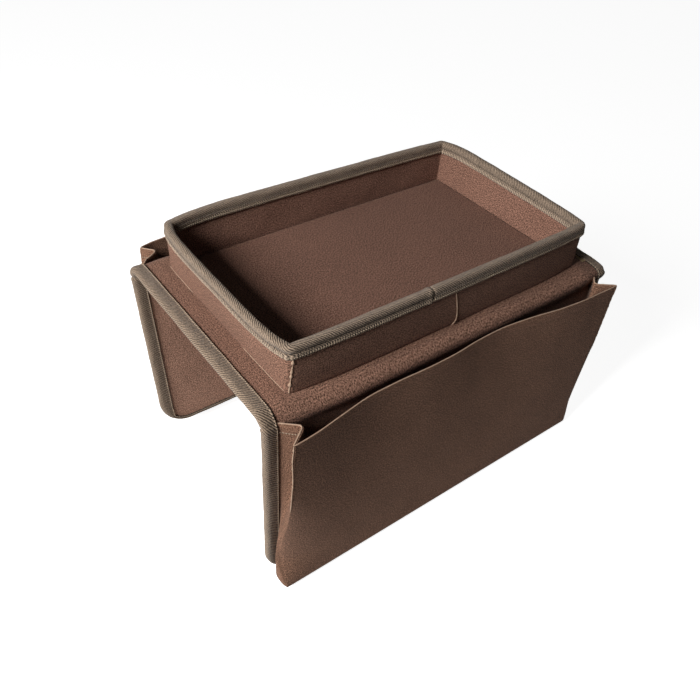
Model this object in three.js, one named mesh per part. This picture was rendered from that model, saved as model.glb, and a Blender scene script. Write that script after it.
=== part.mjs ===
import * as THREE from 'three';

// Sofa armrest organizer: a fabric saddle that hangs over an armrest, with an open tray sewn
// on top and a gusseted pocket on the outside of each hanging flap.
// Millimetres, +Z up. X runs along the armrest, the near side is -Y, the front end is -X.

// Cloth, stiffeners and binding
const fabric = 0.9;
const felt = 2.4;
const board = 2.4;
const tape = 0.9;
const tapeLeg = 11;
const tapeRound = 1.2;
const seam = 0.2;
const pressed = 0.2;
const foldGap = 0.3;

// Saddle, measured over its binding as it stands. The cloth has slipped over to the far side,
// where the shoulder reaches further out than the near one and the flap hangs higher.
const saddleLength = 360;
const saddleWidth = 221;
const farReach = 8;
const farRise = 5;
const saddleHeight = 191;
const shoulderRadius = 14;
const flapLift = 6;
const flapCorner = 28;
const nearLean = 0;
const farLean = 8.4;

// Tray, measured at the corners of its outer fabric, which stand back from the saddle's ends
const trayFromEnd = 27.5;
const trayWidth = 186;
const trayHeight = 43.5;
const trayCorner = 6;
const frontRimBow = 5.5;
const nearRimBow = 1.5;
const backRimBow = 5;
const farRimBow = 4.5;
const backRimSkew = 0.5;
const farRimSkew = 0.6;
const nearBaseBow = 3.5;
const otherBaseBow = 0.5;
const floorPlay = 0.6;

// Pockets. Depths are measured from the flap's outer face to the back of the pocket's front.
// A mouth is drawn in at two places by its pinches or bellies out between its corners, and the
// far pocket's front corner is drawn along the armrest. All these fade out down the pocket.
const pocketDepth = 18.5;
const mouthHeight = 184;
const frontFoot = 2.7;
const frontCorner = 6;
const frontOverlap = 2;
const gussetCloth = 37;
const gussetSwell = 6;
const swellRound = 3;
const gussetPlay = 0.6;
const swellCorner = 12;
const nearMouth = 22;
const farMouth = 24.3;
const nearBackPinch = 13;
const nearFrontPinch = 9.5;
const farBelly = 8;
const farDraw = 12.5;
const backPinchFromMiddle = 30;
const backPinchSpread = 70;
const frontPinchFromMiddle = 90;
const frontPinchSpread = 60;
const pinchFade = 1.6;
const cornerHold = 6;
const shoulderPlay = 0.5;
const sewnShare = 0.9;

// A gusset's section has six points, from the flap to the front. These are their places across
// its cloth where it lies folded in two, and the shares of its height between which it folds.
const foldPlaces = [0, 0.1, 0.3, 0.5, 0.75, 1];
const foldStart = 0.1;
const foldFull = 0.85;

// How finely curved pieces are divided
const bowSteps = 8;
const cornerSteps = 3;
const shoulderSteps = 6;
const panelSteps = { along: 24, up: 8 };
const gussetSteps = { up: 8, over: 5 };

// Worked out from the sizes above
const panel = fabric + seam + felt + seam + fabric;
const tapeWrap = seam + tape;
const panelEnd = saddleLength / 2 - tapeWrap;
const trayLength = saddleLength - 2 * trayFromEnd;
const faceOut = (saddleWidth - farReach) / 2;
const flatEnd = faceOut - shoulderRadius;
const flapTop = saddleHeight - shoulderRadius;
const flapBottom = flapLift + tapeWrap;
const cornerRadius = flapCorner - tapeWrap;
const topMiddle = saddleHeight - panel / 2;
const tapeReach = tapeLeg - tapeWrap;
const flatReach = tapeReach + seam;
const wall = fabric + seam + board + seam + fabric;
const wallFoot = saddleHeight + seam;
const wallTop = saddleHeight + trayHeight - tapeWrap;
const gussetLine = saddleLength / 2 - tapeLeg - 2 * seam;
const frontEnd = gussetLine + frontOverlap;
const rimBow = { front: frontRimBow, near: nearRimBow, back: backRimBow, far: farRimBow };
const baseBow = {
  front: otherBaseBow,
  near: nearBaseBow,
  back: otherBaseBow,
  far: otherBaseBow,
};
const rimSkew = { front: 0, near: 0, back: backRimSkew, far: farRimSkew };
const near = {
  lean: THREE.MathUtils.degToRad(nearLean),
  reach: 0,
  rise: 0,
  pocket: {
    mouth: nearMouth,
    backPinch: nearBackPinch,
    frontPinch: nearFrontPinch,
    belly: 0,
    draw: 0,
  },
};
const far = {
  lean: THREE.MathUtils.degToRad(farLean),
  reach: farReach,
  rise: farRise,
  pocket: { mouth: farMouth, backPinch: 0, frontPinch: 0, belly: farBelly, draw: farDraw },
};

// The cloth of a shoulder keeps its length when the flap is laid out flat, which puts the
// axis of the fold just under the shoulder's outer edge.
const shoulderCloth = (shoulderRadius * Math.PI) / 2;
const foldOut = flatEnd + shoulderCloth / 2;
const foldHeight = saddleHeight - shoulderRadius + shoulderCloth / 2;

const finishes = {
  cover: { color: 0x75594b, roughness: 0.92 },
  lining: { color: 0x6b5144, roughness: 0.94 },
  pocket: { color: 0x5d4739, roughness: 0.93 },
  binding: { color: 0x84766a, roughness: 0.88 },
  felt: { color: 0x4d443e, roughness: 1 },
  board: { color: 0xa08a6c, roughness: 0.95 },
};

const organizer = new THREE.Group();

function addPiece(group, name, geometry, finish) {
  const material = new THREE.MeshStandardMaterial({ metalness: 0, ...finishes[finish] });
  const mesh = new THREE.Mesh(geometry, material);
  mesh.name = name;
  group.add(mesh);
  return mesh;
}

function enclosedVolume(positions, index) {
  const a = new THREE.Vector3();
  const b = new THREE.Vector3();
  const c = new THREE.Vector3();
  let volume = 0;
  for (let i = 0; i < index.length; i += 3) {
    a.fromArray(positions, 3 * index[i]);
    b.fromArray(positions, 3 * index[i + 1]);
    c.fromArray(positions, 3 * index[i + 2]);
    volume += a.dot(b.cross(c)) / 6;
  }
  return volume;
}

// A closed solid between two grids of points, the outside and the inside of a sheet. Row i of
// each grid lies across the sheet; with wrap the last row joins the first, as in a ring. Each
// four points are split along their shorter diagonal, so sheets that lie on each other match.
function sheetSolid(outside, inside, wrap = false) {
  const rows = outside.length;
  const columns = outside[0].length;
  const positions = [];
  for (const grid of [outside, inside]) {
    for (const point of grid.flat()) {
      positions.push(point.x, point.y, point.z);
    }
  }
  const at = (side, i, j) => (side * rows + (i % rows)) * columns + j;
  const index = [];
  const point = (k) => new THREE.Vector3().fromArray(positions, 3 * k);
  const quad = (a, b, c, d) => {
    const straight = point(a).distanceTo(point(c)) <= point(b).distanceTo(point(d));
    index.push(...(straight ? [a, b, c, a, c, d] : [b, c, d, b, d, a]));
  };
  const spans = wrap ? rows : rows - 1;
  for (let i = 0; i < spans; i++) {
    for (let j = 0; j < columns - 1; j++) {
      quad(at(0, i, j), at(0, i + 1, j), at(0, i + 1, j + 1), at(0, i, j + 1));
      quad(at(1, i, j), at(1, i, j + 1), at(1, i + 1, j + 1), at(1, i + 1, j));
    }
    quad(at(0, i, 0), at(1, i, 0), at(1, i + 1, 0), at(0, i + 1, 0));
    const last = columns - 1;
    quad(at(0, i, last), at(0, i + 1, last), at(1, i + 1, last), at(1, i, last));
  }
  if (!wrap) {
    for (let j = 0; j < columns - 1; j++) {
      quad(at(0, 0, j), at(0, 0, j + 1), at(1, 0, j + 1), at(1, 0, j));
      const end = rows - 1;
      quad(at(0, end, j), at(1, end, j), at(1, end, j + 1), at(0, end, j + 1));
    }
  }
  if (enclosedVolume(positions, index) < 0) index.reverse();
  const geometry = new THREE.BufferGeometry();
  geometry.setAttribute('position', new THREE.Float32BufferAttribute(positions, 3));
  geometry.setIndex(index);
  geometry.computeVertexNormals();
  return geometry;
}

// Binding tape folded over the edge of a panel. Each station gives a point at the middle of
// the panel's edge, the direction out of the edge and the direction across the panel.
function bindingSolid(stations, panelThickness, wrap = false) {
  const run = (half, out, round) => [
    [-tapeReach, half],
    [out - round, half],
    [out, half - round],
    [out, round - half],
    [out - round, -half],
    [-tapeReach, -half],
  ];
  const half = panelThickness / 2 + seam;
  const place = (section) => (station) =>
    section.map(([out, across]) =>
      station.point
        .clone()
        .addScaledVector(station.out, out)
        .addScaledVector(station.across, across)
    );
  const outside = stations.map(place(run(half + tape, tapeWrap, tapeRound)));
  const inside = stations.map(place(run(half, seam, tapeRound * seam)));
  return sheetSolid(outside, inside, wrap);
}

// A flat slab with its corners at two opposite points.
function slab(low, high) {
  const size = high.clone().sub(low);
  const geometry = new THREE.BoxGeometry(size.x, size.y, size.z);
  return geometry.translate(low.x + size.x / 2, low.y + size.y / 2, low.z + size.z / 2);
}

// A point on one side of the tray seen from above, drawn in from its outer fabric by inset.
// Level 0 is the foot of the walls and 1 their top, so a side's bow changes up the wall. A bow
// is nearly even between the corners, and its skew makes it larger towards the side's end. The
// side stops short of the corners by cornerLength.
function traySide(side, share, inset, level, cornerLength) {
  const halfLength = trayLength / 2 - inset;
  const halfWidth = trayWidth / 2 - inset;
  const straightX = trayLength / 2 - cornerLength;
  const straightY = trayWidth / 2 - cornerLength;
  const run = 2 * share - 1;
  const rim = rimBow[side] * (1 + rimSkew[side] * run);
  const bow = THREE.MathUtils.lerp(baseBow[side], rim, level) * (1 - run ** cornerHold);
  if (side === 'near') return [run * straightX, -halfWidth - bow];
  if (side === 'back') return [halfLength + bow, run * straightY];
  if (side === 'far') return [-run * straightX, halfWidth + bow];
  return [-halfLength - bow, -run * straightY];
}

// The places where a side is divided, closer together towards its ends.
const bowShares = [];
for (let step = 0; step <= bowSteps; step++) {
  bowShares.push((1 - Math.cos((step / bowSteps) * Math.PI)) / 2);
}

function trayOutline(inset, level) {
  const points = [];
  const sides = ['near', 'back', 'far', 'front'];
  const cornerLength = Math.max(trayCorner, inset);
  const radius = cornerLength - inset;
  const corners = [[1, -1], [1, 1], [-1, 1], [-1, -1]];
  sides.forEach((side, turn) => {
    for (const share of bowShares) {
      points.push(traySide(side, share, inset, level, cornerLength));
    }
    const centreX = corners[turn][0] * (trayLength / 2 - cornerLength);
    const centreY = corners[turn][1] * (trayWidth / 2 - cornerLength);
    for (let step = 1; step < cornerSteps; step++) {
      const angle = ((turn - 1 + step / cornerSteps) * Math.PI) / 2;
      points.push([centreX + radius * Math.cos(angle), centreY + radius * Math.sin(angle)]);
    }
  });
  return points;
}

// The heights at which a wall is divided: its foot, where the rim's tape ends, and its top.
const wallHeights = [wallFoot, wallTop + tapeWrap - tapeLeg, wallTop];
const levelAt = (z) => (z - wallFoot) / (wallTop - wallFoot);

function trayRing(insetOut, insetIn) {
  const face = (inset) => {
    const outlines = wallHeights.map((z) => trayOutline(inset, levelAt(z)));
    return outlines[0].map((_, i) =>
      wallHeights.map((z, level) => new THREE.Vector3(...outlines[level][i], z))
    );
  };
  return sheetSolid(face(insetOut), face(insetIn), true);
}

function wallBoard(side) {
  const cornerLength = Math.max(trayCorner, wall);
  const face = (inset) => {
    const rows = [];
    for (const share of bowShares) {
      const at = (z) => traySide(side, share, inset, levelAt(z), cornerLength);
      rows.push(wallHeights.map((z) => new THREE.Vector3(...at(z), z)));
    }
    return rows;
  };
  const outer = fabric + seam;
  return sheetSolid(face(outer), face(outer + board));
}

// The rim's tape leans with the wall that it is folded over.
function rimBinding() {
  const outer = trayOutline(0, 1);
  const inner = trayOutline(wall, 1);
  const foot = trayOutline(wall, 0);
  const stations = outer.map(([x, y], i) => {
    const [innerX, innerY] = inner[i];
    const point = new THREE.Vector3((x + innerX) / 2, (y + innerY) / 2, wallTop);
    const lean = new THREE.Vector3(innerX - foot[i][0], innerY - foot[i][1], wallTop - wallFoot);
    const across = new THREE.Vector3(x - innerX, y - innerY, 0).normalize();
    return { point, out: lean.divideScalar(wallTop - wallFoot), across };
  });
  return bindingSolid(stations, wall, true);
}

function addTray() {
  const inside = wall + floorPlay;
  const floorX = trayLength / 2 - inside;
  const floorY = trayWidth / 2 - inside;
  const boardTop = wallFoot + board;
  const coverFoot = boardTop + seam;
  const floorBoard = slab(
    new THREE.Vector3(-floorX, -floorY, wallFoot),
    new THREE.Vector3(floorX, floorY, boardTop)
  );
  const floorCover = slab(
    new THREE.Vector3(-floorX, -floorY, coverFoot),
    new THREE.Vector3(floorX, floorY, coverFoot + fabric)
  );
  addPiece(organizer, 'tray_floor_board', floorBoard, 'board');
  addPiece(organizer, 'tray_floor_cover', floorCover, 'cover');
  for (const side of Object.keys(rimBow)) {
    addPiece(organizer, `${side}_wall_board`, wallBoard(side), 'board');
  }
  const outerBand = trayRing(0, fabric);
  const liningBand = trayRing(wall - fabric, wall);
  addPiece(organizer, 'tray_outer_band', outerBand, 'cover');
  addPiece(organizer, 'tray_lining_band', liningBand, 'lining');
  addPiece(organizer, 'tray_rim_binding', rimBinding(), 'binding');
}

// A sheet of the saddle between two heights over its middle line, which runs through the
// stations. Under the tape at its two ends it is pressed thinner.
function saddleSheet(stations, high, low, press) {
  const face = (offset, thinner) =>
    stations.map(({ point, across }) =>
      [
        [-panelEnd, thinner],
        [flatReach - panelEnd, 0],
        [panelEnd - flatReach, 0],
        [panelEnd, thinner],
      ].map(([x, change]) => point.clone().addScaledVector(across, offset + change).setX(x))
    );
  return sheetSolid(face(high, -press), face(low, press));
}

function addEndBinding(group, name, stations, end) {
  const edge = stations.map(({ point, across }) => ({
    point: point.clone().setX(end * panelEnd),
    out: new THREE.Vector3(end, 0, 0),
    across,
  }));
  addPiece(group, name, bindingSolid(edge, panel), 'binding');
}

function addTopPanel() {
  const stations = [-flatEnd, flatEnd + farReach].map((y) => ({
    point: new THREE.Vector3(0, y, topMiddle),
    across: new THREE.Vector3(0, 0, 1),
  }));
  const face = panel / 2;
  const lining = saddleSheet(stations, fabric - face, -face, pressed);
  const stiffener = saddleSheet(stations, felt / 2, -felt / 2, 0);
  const cover = saddleSheet(stations, face, face - fabric, pressed);
  addPiece(organizer, 'top_lining', lining, 'lining');
  addPiece(organizer, 'top_board', stiffener, 'board');
  addPiece(organizer, 'top_cover', cover, 'cover');
  addEndBinding(organizer, 'front_top_binding', stations, -1);
  addEndBinding(organizer, 'back_top_binding', stations, 1);
}

// The radius of a shoulder's middle line, which turns from the top panel into the leaning flap.
function shoulderTurn(lean) {
  const fold = new THREE.Vector2(-foldOut, foldHeight);
  const start = new THREE.Vector2(-flatEnd - foldGap, topMiddle);
  const end = new THREE.Vector2(-faceOut + panel / 2, flapTop + foldGap).rotateAround(fold, lean);
  return start.distanceTo(end) / (2 * Math.sin((Math.PI / 2 + lean) / 2));
}

// The middle line of a shoulder, from the top panel's edge to the leaning flap's top edge, as
// near to an arc as one curve can be. It is drawn for the near side, whose outside is at -Y.
function shoulderStations(lean) {
  const fold = new THREE.Vector2(-foldOut, foldHeight);
  const turned = (y, z) => new THREE.Vector2(y, z).rotateAround(fold, lean);
  const start = new THREE.Vector2(-flatEnd - foldGap, topMiddle);
  const end = turned(-faceOut + panel / 2, flapTop + foldGap);
  const handle = (4 / 3) * Math.tan((Math.PI / 2 + lean) / 4) * shoulderTurn(lean);
  const curve = new THREE.CubicBezierCurve(
    start,
    new THREE.Vector2(start.x - handle, start.y),
    turned(-faceOut + panel / 2, flapTop + foldGap + handle),
    end
  );
  const stations = [];
  for (let step = 0; step <= shoulderSteps; step++) {
    const point = curve.getPoint(step / shoulderSteps);
    const tangent = curve.getTangent(step / shoulderSteps);
    stations.push({
      point: new THREE.Vector3(0, point.x, point.y),
      across: new THREE.Vector3(0, tangent.y, -tangent.x),
    });
  }
  return stations;
}

function addShoulder(group, side, lean) {
  const stations = shoulderStations(lean);
  const face = panel / 2;
  const cover = saddleSheet(stations, face, face - fabric, pressed);
  const lining = saddleSheet(stations, fabric - face, -face, pressed);
  addPiece(group, `${side}_shoulder_cover`, cover, 'cover');
  addPiece(group, `${side}_shoulder_lining`, lining, 'lining');
  for (const [name, end] of endsFor(side)) {
    addEndBinding(group, `${side}_shoulder_${name}_binding`, stations, end);
  }
}

// Each side is drawn as the near one, and the far one is turned half way round the upright
// axis, so its front end is drawn at +X.
function endsFor(side) {
  return side === 'near'
    ? [['front', -1], ['back', 1]]
    : [['front', 1], ['back', -1]];
}

// A sheet of the flap, pressed thinner under the tape, but not along its top edge. An arc in a
// shape gets twice curveSegments divisions, which the flap's binding repeats.
function flapSheet(rise, outer, thickness, press) {
  const low = flapBottom + rise + cornerRadius;
  const side = panelEnd - cornerRadius;
  const outline = new THREE.Shape();
  outline.moveTo(-panelEnd, flapTop);
  outline.lineTo(-panelEnd, low);
  outline.absarc(-side, low, cornerRadius, Math.PI, 1.5 * Math.PI);
  outline.absarc(side, low, cornerRadius, 1.5 * Math.PI, 2 * Math.PI);
  outline.lineTo(panelEnd, flapTop);
  const geometry = new THREE.ExtrudeGeometry(outline, {
    depth: thickness - 2 * press,
    bevelEnabled: press > 0,
    bevelThickness: press,
    bevelSize: flatReach,
    bevelOffset: -flatReach,
    bevelSegments: 1,
    curveSegments: cornerSteps,
  });
  const corners = geometry.getAttribute('position');
  for (let i = 0; i < corners.count; i++) {
    if (corners.getY(i) > flapTop - flatReach - seam) corners.setY(i, flapTop);
  }
  return geometry.rotateX(Math.PI / 2).translate(0, thickness - press - outer, 0);
}

function flapBindingStations(rise) {
  const stations = [];
  const across = new THREE.Vector3(0, -1, 0);
  const middle = -faceOut + panel / 2;
  const add = (x, z, angle) =>
    stations.push({
      point: new THREE.Vector3(x, middle, z),
      out: new THREE.Vector3(Math.cos(angle), 0, Math.sin(angle)),
      across,
    });
  add(-panelEnd, flapTop, Math.PI);
  for (const end of [-1, 1]) {
    const from = end < 0 ? Math.PI : 1.5 * Math.PI;
    const centreX = end * (panelEnd - cornerRadius);
    const centreZ = flapBottom + rise + cornerRadius;
    for (let step = 0; step <= 2 * cornerSteps; step++) {
      const angle = from + (step / (2 * cornerSteps)) * (Math.PI / 2);
      add(centreX + cornerRadius * Math.cos(angle), centreZ + cornerRadius * Math.sin(angle), angle);
    }
  }
  add(panelEnd, flapTop, 0);
  return stations;
}

function addFlap(group, side, rise) {
  const feltOut = faceOut - fabric - seam;
  const liningOut = feltOut - felt - seam;
  addPiece(group, `${side}_flap_cover`, flapSheet(rise, faceOut, fabric, pressed), 'cover');
  addPiece(group, `${side}_flap_felt`, flapSheet(rise, feltOut, felt, 0), 'felt');
  const lining = flapSheet(rise, liningOut, fabric, pressed);
  addPiece(group, `${side}_flap_lining`, lining, 'lining');
  const binding = bindingSolid(flapBindingStations(rise), panel);
  addPiece(group, `${side}_flap_binding`, binding, 'binding');
}

// How far up a pocket's front a height is, from 0 at its foot to 1 at its mouth.
function shareUp(z) {
  return THREE.MathUtils.clamp((z - frontFoot) / (mouthHeight - frontFoot), 0, 1);
}

// How far a pocket's front stands off its flap, along the pocket and up it. Between its corners
// the mouth is drawn in or bellies out, more the higher up.
function pocketReach(pocket, x, z) {
  const hump = (from, spread) => Math.exp(-((from / spread) ** 2));
  const back = pocket.backPinch * hump(x - backPinchFromMiddle, backPinchSpread);
  const front = pocket.frontPinch * hump(x + frontPinchFromMiddle, frontPinchSpread);
  const free = 1 - Math.min(Math.abs(x / frontEnd), 1) ** cornerHold;
  const corner = THREE.MathUtils.lerp(pocketDepth, pocket.mouth, shareUp(z));
  return corner + (pocket.belly - back - front) * free * shareUp(z) ** pinchFade;
}

// How far the pocket's corner at +X, which is the far pocket's front one, is drawn in.
function drawnIn(pocket, x, z) {
  const corner = THREE.MathUtils.clamp(x / frontEnd, 0, 1) ** cornerHold;
  return pocket.draw * corner * shareUp(z) ** pinchFade;
}

// The front's lower corners are rounded, so its lowest rows are shorter.
function addPocketFront(group, side, pocket) {
  const cornerTop = frontFoot + frontCorner;
  const rowHeights = [];
  for (let step = 0; step < cornerSteps; step++) {
    const angle = (step / cornerSteps) * (Math.PI / 2);
    rowHeights.push(cornerTop - frontCorner * Math.cos(angle));
  }
  for (let step = 0; step <= panelSteps.up; step++) {
    rowHeights.push(THREE.MathUtils.lerp(cornerTop, mouthHeight, step / panelSteps.up));
  }
  const halfLength = (z) => {
    const drop = Math.max(cornerTop - z, 0);
    return frontEnd - frontCorner + Math.sqrt(frontCorner ** 2 - drop ** 2);
  };
  const face = (offset) => {
    const rows = [];
    for (let i = 0; i <= panelSteps.along; i++) {
      const share = (2 * i) / panelSteps.along - 1;
      rows.push(
        rowHeights.map((z) => {
          const x = share * halfLength(z);
          const y = -faceOut - pocketReach(pocket, x, z) - offset;
          return new THREE.Vector3(x - drawnIn(pocket, x, z), y, z);
        })
      );
    }
    return rows;
  };
  addPiece(group, `${side}_pocket_front`, sheetSolid(face(fabric), face(0)), 'pocket');
}

// The inside of a sheet whose outside is given as rows of points. Each row is bent in the plane
// of its own out direction and -Y, and its inside lies one thickness to the left of its path.
// At its two ends, which meet the flap and the front, the thickness lies along their faces.
function innerRows(rows, outs) {
  return rows.map((row, i) => {
    const flat = row.map((point) => new THREE.Vector2(point.dot(outs[i]), -point.y));
    return row.map((point, j) => {
      if (j === 0 || j === row.length - 1) return point.clone().addScaledVector(outs[i], -fabric);
      const before = flat[j].clone().sub(flat[j - 1]).normalize();
      const after = flat[j + 1].clone().sub(flat[j]).normalize();
      const along = before.clone().add(after).normalize();
      const widening = fabric / Math.max(along.dot(before), 0.5);
      return point
        .clone()
        .addScaledVector(outs[i], -along.y * widening)
        .add(new THREE.Vector3(0, -along.x * widening, 0));
    });
  });
}

// The section of a gusset where it swells: it stands off the flap, passes over the binding,
// runs along the outermost line and turns in to the front. Each is a point in the flap's plane
// with how far it stands off the flap's face.
function swellRow(atFlap, outermost, atFront, out, gap) {
  const stand = (point, off) => new THREE.Vector3(point.x, -faceOut - off, point.z);
  const overTape = tapeWrap + gussetPlay;
  const shouldered = outermost.clone().addScaledVector(out, -swellRound);
  return [
    stand(atFlap, seam),
    stand(atFlap, overTape),
    stand(shouldered, overTape + fabric),
    stand(outermost, overTape + fabric + swellRound),
    stand(outermost, gap - swellRound),
    stand(atFront, gap - foldGap),
  ];
}

// Each line of the pocket's foot is a rounded rectangle in the flap's plane, given by its half
// length, its height above the ground and its corner radius. Angle 0 is the upright side and a
// quarter turn is the bottom.
function footPoint(halfLength, foot, radius, end, angle) {
  const x = end * (halfLength - radius + radius * Math.cos(angle));
  return new THREE.Vector3(x, 0, foot + radius - radius * Math.sin(angle));
}

const tapeInner = { foot: flapLift + tapeLeg + 2 * seam, radius: flapCorner - tapeLeg - 2 * seam };
const swellEnd = gussetLine + gussetSwell;

function swellRowAt(end, angle, gap) {
  return swellRow(
    footPoint(gussetLine, tapeInner.foot, tapeInner.radius, end, angle),
    footPoint(swellEnd, 0, swellCorner, end, angle),
    footPoint(frontEnd, frontFoot, frontCorner, end, angle),
    new THREE.Vector3(end * Math.cos(angle), 0, -Math.sin(angle)),
    gap
  );
}

// The cloth round the pocket's foot, from one side over the bottom to the other. Its flat
// underside is what the organizer stands on.
function pocketBottom() {
  const rows = [];
  const outs = [];
  for (const end of [-1, 1]) {
    for (let step = 0; step <= 2 * cornerSteps; step++) {
      const share = step / (2 * cornerSteps);
      const angle = ((end < 0 ? share : 1 - share) * Math.PI) / 2;
      rows.push(swellRowAt(end, angle, pocketDepth));
      outs.push(new THREE.Vector3(end * Math.cos(angle), 0, -Math.sin(angle)));
    }
  }
  return sheetSolid(rows, innerRows(rows, outs));
}

// How far off the flap's plane a gusset is sewn to it. Near the mouth it follows the cover,
// which falls away over the shoulder. Above the sewn share of that turn it stands free.
function sewnOff(lean, z) {
  const radius = shoulderTurn(lean) + panel / 2;
  const clear = radius + shoulderPlay;
  const over = THREE.MathUtils.clamp(z - flapTop - foldGap, 0, sewnShare * clear);
  return Math.min(seam, Math.sqrt(clear ** 2 - over ** 2) - radius);
}

// A gusset starts where the cloth of the foot ends and folds in between flap and front at the
// mouth, as deep as its cloth allows.
function gussetSheet({ lean, rise, pocket }, end) {
  const { smoothstep, lerp, inverseLerp } = THREE.MathUtils;
  const out = new THREE.Vector3(end, 0, 0);
  const foot = swellRowAt(end, 0, pocketDepth);
  const top = mouthHeight - fabric;
  const shoulder = inverseLerp(foot[0].z, top, flapTop - rise);
  const shares = [];
  for (let step = 0; step < gussetSteps.up; step++) {
    shares.push((step / gussetSteps.up) * shoulder);
  }
  for (let step = 0; step <= gussetSteps.over; step++) {
    shares.push(lerp(shoulder, 1, step / gussetSteps.over));
  }
  const rows = [];
  for (const share of shares) {
    const height = lerp(swellCorner, top, share);
    const gap = pocketReach(pocket, end * frontEnd, height);
    const drawn = drawnIn(pocket, end * frontEnd, height);
    const swelled = swellRowAt(end, 0, gap);
    const fold = Math.sqrt(Math.max((gussetCloth / 2) ** 2 - (gap / 2) ** 2, 0));
    const folding = smoothstep(share, foldStart, foldFull);
    rows.push(
      swelled.map((point, j) => {
        const place = foldPlaces[j];
        const crease = fold * (1 - Math.abs(2 * place - 1));
        const foldedX = end * (lerp(gussetLine, frontEnd, place) - crease);
        const z = lerp(foot[j].z + foldGap, top, share);
        const foldedY = -faceOut - lerp(sewnOff(lean, z + rise), gap - foldGap, place);
        const x = lerp(point.x, foldedX, folding) - drawn * place;
        return new THREE.Vector3(x, lerp(point.y, foldedY, folding), z);
      })
    );
  }
  return sheetSolid(rows, innerRows(rows, rows.map(() => out)));
}

function addPocket(group, side, hang) {
  addPocketFront(group, side, hang.pocket);
  for (const [name, end] of endsFor(side)) {
    addPiece(group, `${side}_pocket_${name}_gusset`, gussetSheet(hang, end), 'pocket');
  }
  addPiece(group, `${side}_pocket_bottom`, pocketBottom(), 'pocket');
}

function addSide(side, hang) {
  const half = new THREE.Group();
  half.rotation.z = side === 'near' ? 0 : Math.PI;
  organizer.add(half);
  const outer = new THREE.Group();
  outer.position.y = -hang.reach;
  half.add(outer);
  addShoulder(outer, side, hang.lean);
  const fold = new THREE.Group();
  fold.position.set(0, -foldOut, foldHeight);
  fold.rotation.x = hang.lean;
  outer.add(fold);
  const flap = new THREE.Group();
  flap.position.set(0, foldOut, -foldHeight);
  fold.add(flap);
  addFlap(flap, side, hang.rise);
  const pocket = new THREE.Group();
  pocket.position.z = hang.rise;
  flap.add(pocket);
  addPocket(pocket, side, hang);
}

addTopPanel();
addTray();
addSide('near', near);
addSide('far', far);

// The origin is on the ground under the middle of the whole organizer.
const bounds = new THREE.Box3().setFromObject(organizer, true);
const centre = bounds.getCenter(new THREE.Vector3());
organizer.position.set(-centre.x, -centre.y, -bounds.min.z);

export default organizer;
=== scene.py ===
"""Sofa armrest organizer: the cloth, tape and thread over its boards and felts.

Every shape is worked out in millimetres in the frame of the near side: x runs along the armrest,
the near flap hangs at -y, z is up from the ground line and y 0 is the middle of the top panel.
The far side is the same shape, leaned in about its fold and turned half way round.
"""
from functools import partial

import bpy
import numpy as np
from mathutils import Matrix, Vector


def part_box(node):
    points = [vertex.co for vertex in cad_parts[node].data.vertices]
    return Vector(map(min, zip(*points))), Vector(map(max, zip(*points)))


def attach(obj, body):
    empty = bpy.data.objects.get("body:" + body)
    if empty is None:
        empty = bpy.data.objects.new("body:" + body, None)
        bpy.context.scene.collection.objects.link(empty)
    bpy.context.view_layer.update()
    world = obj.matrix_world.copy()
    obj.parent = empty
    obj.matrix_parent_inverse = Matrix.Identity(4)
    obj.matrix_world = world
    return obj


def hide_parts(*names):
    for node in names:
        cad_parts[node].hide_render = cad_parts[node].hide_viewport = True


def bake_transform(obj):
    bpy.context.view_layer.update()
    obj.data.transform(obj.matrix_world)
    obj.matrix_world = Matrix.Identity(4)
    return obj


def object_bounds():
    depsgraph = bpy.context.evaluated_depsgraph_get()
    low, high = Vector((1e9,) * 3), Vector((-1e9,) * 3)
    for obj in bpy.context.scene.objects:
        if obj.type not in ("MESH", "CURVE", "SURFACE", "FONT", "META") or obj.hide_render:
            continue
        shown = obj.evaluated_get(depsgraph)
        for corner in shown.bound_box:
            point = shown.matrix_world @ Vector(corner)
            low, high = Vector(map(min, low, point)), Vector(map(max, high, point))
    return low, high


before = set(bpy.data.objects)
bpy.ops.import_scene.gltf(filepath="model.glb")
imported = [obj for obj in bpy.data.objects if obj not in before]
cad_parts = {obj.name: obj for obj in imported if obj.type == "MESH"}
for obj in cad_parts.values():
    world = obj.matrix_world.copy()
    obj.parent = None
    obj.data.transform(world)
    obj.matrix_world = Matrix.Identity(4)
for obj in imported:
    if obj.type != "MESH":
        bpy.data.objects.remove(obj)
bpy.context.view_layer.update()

MM = 0.001
WAVE = 2 * np.pi

# Cloth, stiffeners and tape, as on the frame
CLOTH = 0.9
SEAM = 0.2
HALF = 4.6 / 2
WALL = 4.6
TAPE_WRAP = 1.1
STITCH_PITCH = 2.1

# Where the tapes' sewn rows run: how far in from the edge, and how far off the panel's face
EDGE_ROW, EDGE_SEAT = 8.9, HALF + 1.45
RIM_ROW, RIM_SEAT = 7.6, HALF + 1.75
FOOT_LEG = 3.0
RIM_JOINT = -25.5

# Saddle
SADDLE_HEIGHT = 191.0
PANEL_END = 178.9
FACE_OUT = 106.5
FLAT_END = 92.5
FLAP_TOP = 177.0
FLAP_BOTTOM = 7.1
FLAP_CORNER = 26.9
FOLD_GAP = 0.3
SHOULDER_CLOTH = 14.0 * np.pi / 2
FOLD_OUT = FLAT_END + SHOULDER_CLOTH / 2
FOLD_HEIGHT = FLAP_TOP + SHOULDER_CLOTH / 2
SHOULDER_FULLNESS = 5.6
BACK_SAG = 2.4

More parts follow.
